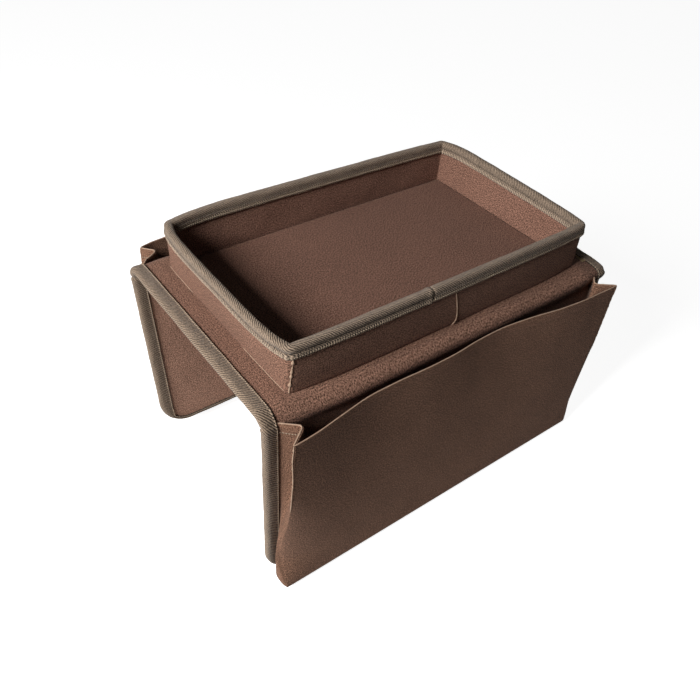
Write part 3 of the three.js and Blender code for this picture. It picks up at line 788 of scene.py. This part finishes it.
def wall_bow(side, run, level):
    """How far a wall is bowed out at a level from foot to top: 1 - t^6 of its bow, with t from -1
    to 1 along the side and the rim's bow growing along it by its skew."""
    rim = RIM_BOW[side] * (1 + RIM_SKEW[side] * run)
    return (BASE_BOW[side] * (1 - level) + rim * level) * (1 - run ** 6)


def on_wall(side, along, z, off):
    """Places off the outer face of a wall, so far along and so high, and the ways off it."""
    face = np.array(WALLS[side])
    way = np.array([-face[1], face[0]])
    half = np.array([TRAY_LENGTH / 2, TRAY_WIDTH / 2])
    level = (z - WALL_FOOT) / (WALL_TOP - WALL_FOOT)
    bow = wall_bow(side, along / (np.abs(way @ half) - TRAY_CORNER), level)
    place = along[:, None] * way + (np.abs(face @ half) + bow + off)[:, None] * face
    return np.column_stack([place, z]), np.tile([*face, 0.0], (len(z), 1))


def tray_line(level, side_steps, corner_steps):
    """The middle line of the tray's walls seen from above, at a level from 0 at the foot to 1 at
    the top: four sides, each with its bow, joined by quarter circles, and softened where they
    meet."""
    radius = TRAY_CORNER - WALL / 2
    straight = np.array([TRAY_LENGTH / 2 - TRAY_CORNER, TRAY_WIDTH / 2 - TRAY_CORNER])
    parts = []
    for number, (side, face) in enumerate(WALLS.items()):
        run = np.linspace(-1, 1, side_steps[number % 2])[:, None]
        face = np.array(face)
        way = np.array([-face[1], face[0]])
        reach_out = np.abs(face @ straight) + radius + wall_bow(side, run, level)
        parts.append(run * np.abs(way @ straight) * way + reach_out * face)
        angle = (number - 1) * np.pi / 2 + np.linspace(0, np.pi / 2, corner_steps + 2)[1:-1]
        arc = radius * np.stack([np.cos(angle), np.sin(angle)], 1)
        parts.append(straight * np.sign(face + way) + arc)
    line = np.concatenate(parts)
    for _ in range(3):
        line = 0.25 * np.roll(line, 1, 0) + 0.5 * line + 0.25 * np.roll(line, -1, 0)
    return line


def wall_frame(side_steps, corner_steps):
    """The walls' middle line at foot and top, the level way out of it and the length so far."""
    foot, top = (tray_line(level, side_steps, corner_steps) for level in (0.0, 1.0))
    way = unit(np.roll(top, -1, 0) - np.roll(top, 1, 0))
    return foot, top, np.stack([way[:, 1], -way[:, 0]], 1), lengths(top)


def wall_sheet(name, facing, finish):
    """The outer (facing 1) or inner (facing -1) cloth of the walls: their middle line between
    foot and top, at half their thickness, slack between the rim's tape and the foot and drawn in
    under both."""
    foot, top, out, run = wall_frame((130, 80), 9)
    height = np.concatenate([[0.0, 0.012, 0.03], np.linspace(0.06, 0.97, 22)])
    z = WALL_FOOT + height * (WALL_TOP - WALL_FOOT)
    around = run[:, None]
    slack = np.sin(np.pi * np.clip(height / 0.78, 0, 1)) ** 0.7
    wide, fine = ripple(around, 1.5 * z, 64.0, facing + 0.4), ripple(around, z, 17.0, facing + 2)
    offset = WALL / 2 + np.maximum(slack * (0.35 + 0.4 * wide + 0.12 * fine), 0)
    offset -= 0.5 * bell(height, 0.0, 0.02)
    middle = foot[:, None] * (1 - height[:, None]) + top[:, None] * height[:, None]
    level = np.broadcast_to(z[None, :, None], (*offset.shape, 1))
    full = np.append(run, run[-1] + np.linalg.norm(top[0] - top[-1]))
    grids = [
        np.concatenate([middle + facing * (offset - depth)[..., None] * out[:, None], level], 2)
        for depth in (0.0, CLOTH)
    ]
    grids.append(np.stack(np.meshgrid(full, z, indexing="ij"), 2))
    grids = [grid[:, ::facing] for grid in grids]
    return sheet_piece(name, *grids, finish, ring=True), float(full[-1])


def add_rim_tape():
    """The tape over the rim, sheared with the walls' lean, with a lapped joint on the near side,
    gathers at the corners and its two rows of stitches. Past the joint its groove is filled."""
    foot, top, out, run = wall_frame((350, 205), 12)
    points = np.column_stack([top, np.full(len(top), WALL_TOP)])
    lean = np.column_stack([(top - foot) / (WALL_TOP - WALL_FOOT), np.ones(len(top))])
    across = np.column_stack([out, np.zeros(len(top))])
    turning = np.linalg.norm(np.roll(out, -6, 0) - np.roll(out, 6, 0), axis=1)
    turning = np.concatenate([turning[-20:], turning, turning[:20]])
    bunched = np.clip(1.6 * np.convolve(turning, np.ones(41) / 41, "valid"), 0, 1)
    puckers = tape_puckers(RIM_OUTLINE, run, 5.0, bunched, 6.5, 0.32)
    elsewhere = 99.0
    joint = np.where(points[:, 1] < 0, points[:, 0] - RIM_JOINT, elsewhere)[:, None]
    width = tape_section(RIM_OUTLINE)[2]
    in_groove = bell(np.minimum(width, width[-1] - width), 6.9, 1.2)
    puckers += 0.75 * smoothstep(joint, -4.0, 4.0) * in_groove
    puckers += 0.5 * bell(joint, -3.0, 2.6) * (joint < 0) - 0.9 * bell(joint, 0.5, 0.8)
    piece = tape_piece(
        "rim_tape", points, lean, across, run, RIM_OUTLINE, puckers, LIT_RIM_TAPE, ring=True
    )
    rows = []
    for face in (1, -1):
        seat = points - RIM_ROW * lean + face * RIM_SEAT * across
        rows.append(stitch_row(seat, face * across, THREAD, thick=0.4, closed=True))
    return piece, joined("rim_stitches", rows), float(run[-1])


def add_floor():
    """The tray's floor: cloth over a board. A grid filled in between the four walls' feet, each
    bowed by 1 - (2s - 1)^6, level but for a soft unevenness, and its edge dropped all round as a
    circle does."""
    inset = WALL + 0.7
    u, v = (0.5 - 0.5 * np.cos(np.pi * np.linspace(0, 1, count)) for count in (120, 90))
    u, v = np.meshgrid(u, v, indexing="ij")
    bow = {
        side: size * (1 - (2 * share - 1) ** 6)
        for (side, size), share in zip(BASE_BOW.items(), (u, v, u, v))
    }
    left, right = inset - TRAY_LENGTH / 2 - bow["front"], TRAY_LENGTH / 2 - inset + bow["back"]
    near, far = inset - TRAY_WIDTH / 2 - bow["near"], TRAY_WIDTH / 2 - inset + bow["far"]
    x, y = left + (right - left) * u, near + (far - near) * v
    from_edge = np.minimum(np.minimum(x - left, right - x), np.minimum(y - near, far - y))
    drop = FLOOR_ROLL * quarter(1 - np.clip(from_edge / FLOOR_ROLL, 0, 1))
    uneven = 0.25 * ripple(x, y, 75.0, 1.0) + 0.07 * ripple(x, y, 21.0, 2.0)
    outside = np.stack([x, y, FLOOR_TOP - drop + smoothstep(from_edge, 2.0, 30.0) * uneven], 2)
    cloth = np.stack([x, y], 2)
    return sheet_piece("tray_floor_cloth", outside, outside - [0, 0, CLOTH], cloth, SHADED_FLOOR_CLOTH)


def add_tray_seams():
    """The seams that show on the tray's outer cloth, as light edges that are partly worn and partly
    painted highlight: the lapped end of the cloth on the near wall, the rough seam at the corner
    nearest the front, and the line stitched along the foot of the front wall."""
    path = rounded(np.array([
        [-1.3, 223.5], [1.5, 213.0], [3.2, 203.0], [3.6, 197.0], [2.4, 193.6], [-1.5, 191.9],
    ]), 3)
    lap = fine_edge(*on_wall("near", *path.T, 0.75), 0.5, 0.4)
    turn = np.radians(np.linspace(-101, -130, 60))
    way = np.column_stack([np.cos(turn), np.sin(turn), 0 * turn])
    centre = np.array([TRAY_CORNER - TRAY_LENGTH / 2, TRAY_CORNER - TRAY_WIDTH / 2, 0.0])
    upright = centre + (TRAY_CORNER + 0.25) * way
    upright[:, 2] = np.linspace(224.0, 191.6, 60)
    seams = [lap, fine_edge(upright, way, 0.8, 0.5, rough=0.95)]
    for start, end in ((-89.0, -45.0), (34.0, 90.0)):
        along = np.linspace(start, end, 80)
        foot = on_wall("front", along, 193.4 + 0.3 * ripple(along, 0, 30.0, 2.0), 0.5)
        seams.append(fine_edge(*foot, 0.28, 0.25))
    return joined("tray_seams", seams)


# ---- pockets


def up_pocket(z):
    """The share of the way up from the front's foot to its mouth."""
    return np.clip((z - FRONT_FOOT) / (MOUTH - FRONT_FOOT), 0, 1)


def reach(spec, x, z):
    """How far a pocket's front stands off its flap: from its foot's depth to its mouth's, less
    two bell-shaped pinches that fade down the pocket and towards its corners."""
    rise = up_pocket(z)
    pinch = spec["back_pinch"] * bell(x, 30, 70) + spec["front_pinch"] * bell(x, -90, 60)
    free = (1 - np.minimum(np.abs(x / FRONT_END), 1) ** 6) * rise ** 1.6
    return POCKET_DEPTH + (spec["mouth"] - POCKET_DEPTH) * rise + (spec["belly"] - pinch) * free


def drawn_in(spec, x, z):
    """How far a mouth's corner is drawn in along the armrest, less down and away from it."""
    return spec["draw"] * up_pocket(z) ** 1.6 * np.clip(x / FRONT_END, 0, 1) ** 6


def sewn_off(side, z):
    """How far off the flap's plane a pocket's side is sewn on at that height: on the cover,
    which falls away over the shoulder as a circle does."""
    radius = shoulder_turn(side)[3] + HALF
    clear = radius + 0.5
    over = np.clip(z + SIDES[side]["rise"] - FLAP_TOP - FOLD_GAP, 0, 0.9 * clear)
    return np.minimum(SEAM, np.sqrt(clear ** 2 - over ** 2) - radius)


def front_half(end, z):
    """Half a front's width, towards either end: at the front end it is 2.2 mm wider up to 50 mm
    above its foot than from 105 mm on."""
    return FRONT_END + np.where(end < 0, 2.2, 0.0) * (1 - smoothstep(z, 50.0, 105.0))


def front_off(spec, x, z):
    """How far the outer face of the front stands off the flap. Towards each side it drops as an
    ellipse does, four times as wide as deep: low down 60 mm wide at the front end and 18 mm at
    the back, 6 mm near the mouth, and not at all at the very foot, whose fold stays straight. It
    drops to the foot as one too."""
    wide = 6.0 + np.where(x < 0, 54.0, 12.0) * (1 - smoothstep(z, 35.0, 140.0))
    inset = np.clip((front_half(x, z) + 1.5 - np.abs(x)) / wide, 0, 1)
    drop = 0.25 * wide * smoothstep(z, 2.0, 38.0) * quarter(1 - inset)
    drop = drop + 8.0 * quarter(1 - np.clip(z / 9.0, 0, 1))
    free = smoothstep(FRONT_END - np.abs(x), 0.0, 30.0) * smoothstep(z, 6.0, 40.0)
    sag = 0.7 * ripple(x, 0.6 * z, 130.0, spec["seed"] + 0.6)
    sag = free * (sag + 0.25 * ripple(1.3 * x, z, 46.0, spec["seed"] + 2))
    hem = 0.35 * smoothstep(z, HEM_LINE - 0.8, HEM_LINE + 0.8) - 0.3 * bell(z, HEM_ROW, 1.0)
    return reach(spec, x, z) + CLOTH - drop + sag + hem


def front_outline():
    """Round a pocket's edge from its left mouth corner down, along the foot and up to the right
    one: for each place the angle round the corner, how far up to the mouth and how far along the
    foot from -1 to 1, and then the number of the place in the middle of the first corner."""
    near_mouth = 1 - np.array([0.0, 0.004, 0.009, 0.016, 0.026, 0.04])
    up = np.concatenate([near_mouth, np.linspace(0.948, 0, 84)])
    corner = np.linspace(0, np.pi / 2, 9)[1:]
    along = np.linspace(-1, 1, 101)[1:-1]
    angle = np.concatenate([0 * up, corner, np.pi / 2 + 0 * along, corner[::-1], 0 * up])
    rise = np.concatenate([up, 0 * corner, 0 * along, 0 * corner, up[::-1]])
    place = np.concatenate([0 * up - 1, 0 * corner - 1, along, 0 * corner + 1, 0 * up + 1])
    return angle, rise, place, len(up) + 3


def foot_line(half, foot, radius, angle, rise, place):
    """A rounded rectangle's edge in the flap's plane: its x and z, lifted towards the mouth by
    the share of the rise. Half its width is a formula of place and z."""
    z = foot + radius * (1 - np.sin(angle))
    z = z + (MOUTH - z) * rise
    return place * (half(place, z) - radius) + np.sign(place) * radius * np.cos(angle), z


def side_cloth(side):
    """The pocket's side and foot cloth. At each place round its edge a line of six points goes
    from the flap to the front: low down it swells over the tape, and higher up it folds in two as
    deep as its cloth allows. Their corners are cut round."""
    spec = SIDES[side]
    angle, rise, place, _ = front_outline()
    end = np.sign(place)
    flap, outmost, front = (
        np.array(foot_line(half, foot, radius, angle, rise, place))
        for half, foot, radius in (
            (lambda place, z: GUSSET_LINE, TAPE_INNER_FOOT, TAPE_INNER_CORNER),
            (lambda place, z: GUSSET_LINE + spec["swell"], 0.0, spec["side_corner"]),
            (front_half, FRONT_FOOT, spec["front_corner"]),
        )
    )
    out = np.stack([end * np.cos(angle), -np.sin(angle)])
    face = front_off(spec, *front)
    over = TAPE_WRAP + 0.6
    low_edge = over + CLOTH
    swelled = [
        (flap, SEAM),
        (flap, over),
        (outmost - 3.0 * out, low_edge),
        (outmost, np.minimum(low_edge + 3.0, face - 1.6)),
        (outmost, np.minimum(np.maximum(face - 3.6, low_edge + 3.5), face - 0.8)),
        (front, face),
    ]
    fold = np.sqrt(np.maximum(GUSSET_CLOTH ** 2 - reach(spec, *front) ** 2, 0)) / 2
    folding = smoothstep(rise, 0.1, 0.85)
    slack = 1.4 * ripple(rise * 170, 0, 60.0, spec["seed"] + 1.7)
    fold = fold + slack * smoothstep(rise, 0.15, 0.4) * (1 - rise)
    wider = front_half(end, front[1]) - GUSSET_LINE
    rows = []
    for ((x, z), off), share in zip(swelled, (0.0, 0.1, 0.3, 0.5, 0.75, 1.0)):
        folded_x = end * (GUSSET_LINE + wider * share - fold * (1 - abs(2 * share - 1)))
        low_end = sewn_off(side, z)
        folded_off = low_end + (face - low_end) * share
        x, off = x + (folded_x - x) * folding, off + (folded_off - off) * folding
        rows.append(np.stack([x, off, z], 1))
    line = rounded(np.stack(rows, 1), 3)
    line[:, -1] = np.stack([front[0], face, front[1]], 1)
    return line, out.T, front.T


def front_grid(spec, edge, turn):
    """The front's own grid, filled in between its edges: each inner point is the blend of the two
    sides and of foot and mouth, less the blend of the four corners."""
    count = len(edge)
    left, foot, right = edge[:turn + 1][::-1], edge[turn:count - turn], edge[count - turn - 1:]
    run = lengths(foot)
    share = run / run[-1]
    top = np.stack([FRONT_END * (2 * share - 1), np.full(len(foot), MOUTH)], 1)
    u, v = share[:, None, None], np.linspace(0, 1, len(left))[None, :, None]
    flat = (1 - v) * foot[:, None] + v * top[:, None] + (1 - u) * left[None] + u * right[None]
    flat -= (1 - v) * ((1 - u) * foot[0] + u * foot[-1]) + v * ((1 - u) * top[0] + u * top[-1])
    x, z = flat[..., 0], flat[..., 1]
    return np.stack([x, front_off(spec, x, z), z], 2), flat


def on_flap(points, side):
    """Points given as x, how far off the flap's face, and z, put on their side."""
    spec = SIDES[side]
    x, off, z = (points[..., k] for k in range(3))
    x = x - drawn_in(spec, x, z) * np.clip(off / 12, 0, 1)
    return on_side(hung(np.stack([x, -FACE_OUT - off, z + spec["rise"]], -1), side), side)


def on_front(side, x, z, off=0.0):
    """Places on the outer face of a side's pocket, or that far off it."""
    x, z = np.broadcast_arrays(x, z)
    return on_flap(np.stack([x, front_off(SIDES[side], x, z) + off, z], 1), side)


def pocket_edges(side, line):
    """The light edges of a pocket, partly worn and partly painted highlight: the fold along its
    mouth, the tops of its sides, and the pinched seams beside the front, which wander a little and
    end above the lower corners."""
    upwards = np.array([0.0, 0.0, 1.0])
    mouth = on_front(side, np.linspace(-FRONT_END, FRONT_END, 300), MOUTH + 0.1, -0.5)
    edges = [fine_edge(mouth, np.tile(upwards, (len(mouth), 1)), 0.4, 0.32)]
    for row in (line[0], line[-1]):
        top = on_flap(row + [0, -0.3, 0.2], side)
        edges.append(fine_edge(top, np.tile(upwards, (len(top), 1)), 0.6, 0.4))
    z = np.linspace(MOUTH, 107.0, 140)
    for end in (-1, 1):
        wander = 0.5 * ripple(z, 0, 38.0, SIDES[side]["seed"] + end)
        x = end * (FRONT_END + wander * smoothstep(MOUTH - z, 0.0, 20.0))
        seat = on_front(side, x, z)
        off = front_off(SIDES[side], x, z)
        ahead = on_flap(np.stack([x + end, off + 1.0, z], 1), side)
        edges.append(fine_edge(seat, unit(ahead - seat), 0.45, 0.4, rough=0.5))
    return edges


def add_pocket(side):
    """One cloth for a pocket: the side and foot cloth and the front share their points along the
    fold. It is thickened inwards, more at the hem."""
    spec = SIDES[side]
    turn = front_outline()[3]
    line, out, edge = side_cloth(side)
    front, flat = front_grid(spec, edge, turn)
    rows, columns = line.shape[:2]
    steps = np.linalg.norm(np.diff(line[:, ::-1], axis=1), axis=2)
    from_front = np.concatenate([np.cumsum(steps, axis=1)[:, ::-1], np.zeros((rows, 1))], 1)
    ring_cloth = edge[:, None] + from_front[..., None] * out[:, None]
    points = np.concatenate([line.reshape(-1, 3), front.reshape(-1, 3)])
    faces = [quads(rows, columns), quads(*front.shape[:2], first=rows * columns)]
    points, faces = merged(points, np.concatenate(faces))
    cloth = np.concatenate([quad_cloth(ring_cloth), quad_cloth(flat)])
    piece = add_mesh(f"{side}_pocket", on_flap(points, side), faces, cloth, SHADED_POCKET_CLOTH)
    hem = piece.vertex_groups.new(name="hem")
    hemmed = 1.4
    weight = 1 + (hemmed - 1) * smoothstep(points[:, 2], HEM_LINE - 0.5, HEM_LINE + 0.5)
    for value in np.unique(weight):
        hem.add(np.nonzero(weight == value)[0].tolist(), float(value / hemmed), "REPLACE")
    wall = piece.modifiers.new("thickness", "SOLIDIFY")
    wall.thickness = hemmed * CLOTH * MM
    wall.offset = -1
    wall.vertex_group = "hem"
    wall.use_even_offset = False
    x = np.linspace(-FRONT_END + 2.5, FRONT_END - 2.5, 240)
    seat = on_front(side, x, HEM_ROW, 0.1)
    off = on_front(side, x, HEM_ROW, 1.1) - seat
    seams = [stitch_row(seat, off, HEM_THREAD, length=1.6, thick=0.24)]
    level = np.argmin(np.abs(line[:turn, -1, 2] - HEM_ROW))
    for station, face in ((level, 1), (rows - 1 - level, -1)):
        run = line[station, 3:-2]
        way = unit(np.gradient(run, axis=0))
        away = face * np.stack([-way[:, 1], way[:, 0], 0 * way[:, 0]], 1)
        seat = on_flap(run, side)
        off = on_flap(run + away, side) - seat
        seams.append(stitch_row(seat, off, THREAD, length=1.8, thick=0.35))
    seams += pocket_edges(side, line)
    return piece, joined(f"{side}_pocket_seams", seams)


# ---- the object put together


def on_saddle(piece):
    """The tray's pieces ride on the saddle."""
    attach(piece, "saddle")


def on_shoulder(side, piece):
    """A piece that goes over the shoulder, its place baked into its points. Where the shoulder
    starts and ends along the middle line is worked out but not used.
    """
    middle, _, run = side_line(side)
    turn = -1 if side == "far" else 1
    where = np.array([FLAT_END + SIDES[side]["reach"], shoulder_end(side)])
    start, end = (spot(0, turn * y, z) for y, z in read_off(middle, run, where))
    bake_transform(piece)


def on_pocket(side, piece):
    """A pocket's cloth, its place baked into its points. Two places 95 mm up, on the flap and at
    the depth that the pocket is squeezed to, are worked out but not used."""
    height = 95.0
    start, end = (
        spot(*on_flap(np.array([0.0, off, height]), side)) for off in (1.0, SIDES[side]["squeezed"])
    )
    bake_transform(piece)


def declare(piece, slot, nodes, flat, held, rests_on, follow, *seams):
    """Hides the frame's nodes that a sheet stands for and puts the sheet and the seams that go with
    it through follow. The slot, the flat size, which is given in millimetres, how it is held and
    what it rests on are not used."""
    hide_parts(*nodes)
    flat = tuple(size * MM for size in flat)
    for part in (piece, *seams):
        follow(part)


def add_side(side):
    """One flap's cover, lining and tape, all three running over the shoulder, and its pocket."""
    bends, opens = partial(on_shoulder, side), partial(on_pocket, side)
    for layer, facing, finish in (("cover", 1, COVER), ("lining", -1, LIT_UNDERSIDE)):
        cloth, run = saddle_sheet(f"{side}_{layer}", side, facing, finish)
        nodes = [f"top_{layer}", f"{side}_shoulder_{layer}", f"{side}_flap_{layer}"]
        rests_on = ["top_board", f"{side}_flap_felt"]
        declare(cloth, layer, nodes, (2 * PANEL_END, run), "stretched", rests_on, bends)
    tape, stitches, run = add_edge_tape(side)
    nodes = ["front_top_binding", "back_top_binding", f"{side}_shoulder_front_binding"]
    nodes += [f"{side}_shoulder_back_binding", f"{side}_flap_binding"]
    rests_on = [f"{side}_cover", f"{side}_lining"]
    declare(tape, "binding", nodes, (EDGE_WIDTH, run), "folded", rests_on, bends, stitches)
    pocket, seams = add_pocket(side)
    nodes = [f"{side}_pocket_{part}" for part in ("front", "front_gusset", "back_gusset", "bottom")]
    flat = (2 * (GUSSET_LINE + GUSSET_CLOTH), MOUTH + GUSSET_CLOTH)
    declare(pocket, "pocket", nodes, flat, "folded", [f"{side}_cover"], opens, seams)


def add_tray():
    """The tray's cloths, its floor, its tape and the small edges that show on its walls."""
    seams = add_tray_seams()
    boards = ["near_wall_board", "far_wall_board"]
    outer, around = wall_sheet("tray_outer_cloth", 1, COVER)
    flat = (around, WALL_TOP - WALL_FOOT)
    declare(outer, "cover", ["tray_outer_band"], flat, "stretched", boards, on_saddle, seams)
    lining, around = wall_sheet("tray_lining_cloth", -1, LINING)
    flat = (around, WALL_TOP - WALL_FOOT)
    declare(lining, "lining", ["tray_lining_band"], flat, "stretched", boards, on_saddle)
    floor = add_floor()
    flat = (TRAY_LENGTH - 2 * WALL, TRAY_WIDTH - 2 * WALL)
    board = ["tray_floor_board"]
    declare(floor, "lining", ["tray_floor_cover"], flat, "laid", board, on_saddle)
    tape, stitches, run = add_rim_tape()
    cloths, flat = ["tray_outer_cloth", "tray_lining_cloth"], (RIM_WIDTH, run)
    declare(tape, "binding", ["tray_rim_binding"], flat, "folded", cloths, on_saddle, stitches)


for side in SIDES:
    add_side(side)
add_tray()

# The boards and felts of the frame keep their shapes and get their finish
for name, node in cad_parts.items():
    if "felt" in name or "board" in name:
        node.data.materials.clear()
        node.data.materials.append(FELT if "felt" in name else BOARD)


# ---- floor, light and camera


def where_seen(tree):
    """1 where a surface is seen by the camera or mirrored, 0 where it only gives light."""
    path = tree.nodes.new("ShaderNodeLightPath")
    seen, mirrored = (Tone(tree, path.outputs[f"Is {ray} Ray"]) for ray in ("Camera", "Glossy"))
    return seen.math("MAXIMUM", mirrored)


def plain_floor():
    """A pale floor, palest within 28 cm of the object's middle and greyer from 55 cm on: a painted
    pool of light, so that the floor near the object sends more light back onto it. To the camera
    it also glows, so that it shows white away from the shadow."""
    material, tree, shader = new_finish("pale_floor", 1.0, specular=0.0)
    away = add_node(
        tree, "ShaderNodeVectorMath", coordinates(tree, "Object"), operation="LENGTH"
    )
    pale = add_node(
        tree, "ShaderNodeMapRange", away.outputs["Value"], interpolation_type="SMOOTHSTEP",
        From_Min=0.28, From_Max=0.55, To_Min=0.72, To_Max=0.2,
    )
    tree.links.new(pale.outputs["Result"], shader.inputs["Base Color"])
    shader.inputs["Emission Color"].default_value = (1, 1, 1, 1)
    glow = 0.93
    (where_seen(tree) * glow).into(shader.inputs["Emission Strength"])
    span = 6.0
    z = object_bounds()[0][2] - 0.0005
    mesh = bpy.data.meshes.new("floor")
    corners = [(-span, -span, z), (span, -span, z), (span, span, z), (-span, span, z)]
    mesh.from_pydata(corners, [], [(0, 1, 2, 3)])
    mesh.materials.append(material)
    add_object("floor", mesh)


def add_lamp(name, direction, distance, size, power):
    """A soft square lamp that far away in that direction, turned to the object."""
    lamp = bpy.data.lights.new(name, "AREA")
    lamp.shape = "SQUARE"
    lamp.size = size
    lamp.energy = power
    holder = add_object(name, lamp)
    way = Vector(direction).normalized()
    holder.location = Vector((0, 0, 0.1)) + way * distance
    holder.rotation_euler = way.to_track_quat("Z", "Y").to_euler()


def white_surroundings(strength):
    """A white world: plain white where it is seen or mirrored, and a soft fill elsewhere."""
    world = bpy.data.worlds.new("surroundings")
    bpy.context.scene.world = world
    world.use_nodes = True
    back = world.node_tree.nodes["Background"]
    back.inputs["Color"].default_value = (1, 1, 1, 1)
    seen = where_seen(world.node_tree)
    (seen * (1 - strength) + strength).into(back.inputs["Strength"])


def add_camera():
    """The photograph's view: turned 39.3 degrees towards the front end, looking down by 41.2, and
    rolled a little."""
    azimuth, elevation, roll = np.radians([-39.31, 41.2, 4.47])
    level = np.cos(elevation)
    back = np.array([np.sin(azimuth) * level, -np.cos(azimuth) * level, np.sin(elevation)])
    right = unit(np.cross(-back, [0, 0, 1]))
    up = np.cross(right, -back)
    c, s = np.cos(roll), np.sin(roll)
    axes = np.stack([right * c + up * s, up * c - right * s, back], 1)
    lens = bpy.data.cameras.new("camera")
    lens.lens = 37.02
    lens.sensor_width = 36
    lens.clip_start = 0.01
    camera = add_object("camera", lens)
    place = Matrix.Translation(Vector(spot(-345.07, -393.03, 548.28)))
    camera.matrix_world = place @ Matrix(axes.tolist()).to_4x4()
    bpy.context.scene.camera = camera


plain_floor()
add_lamp("window", (-1, -0.13, 0.68), 1.6, 0.55, 36)
white_surroundings(0.02)
add_camera()
bpy.context.scene.view_settings.view_transform = "Standard"
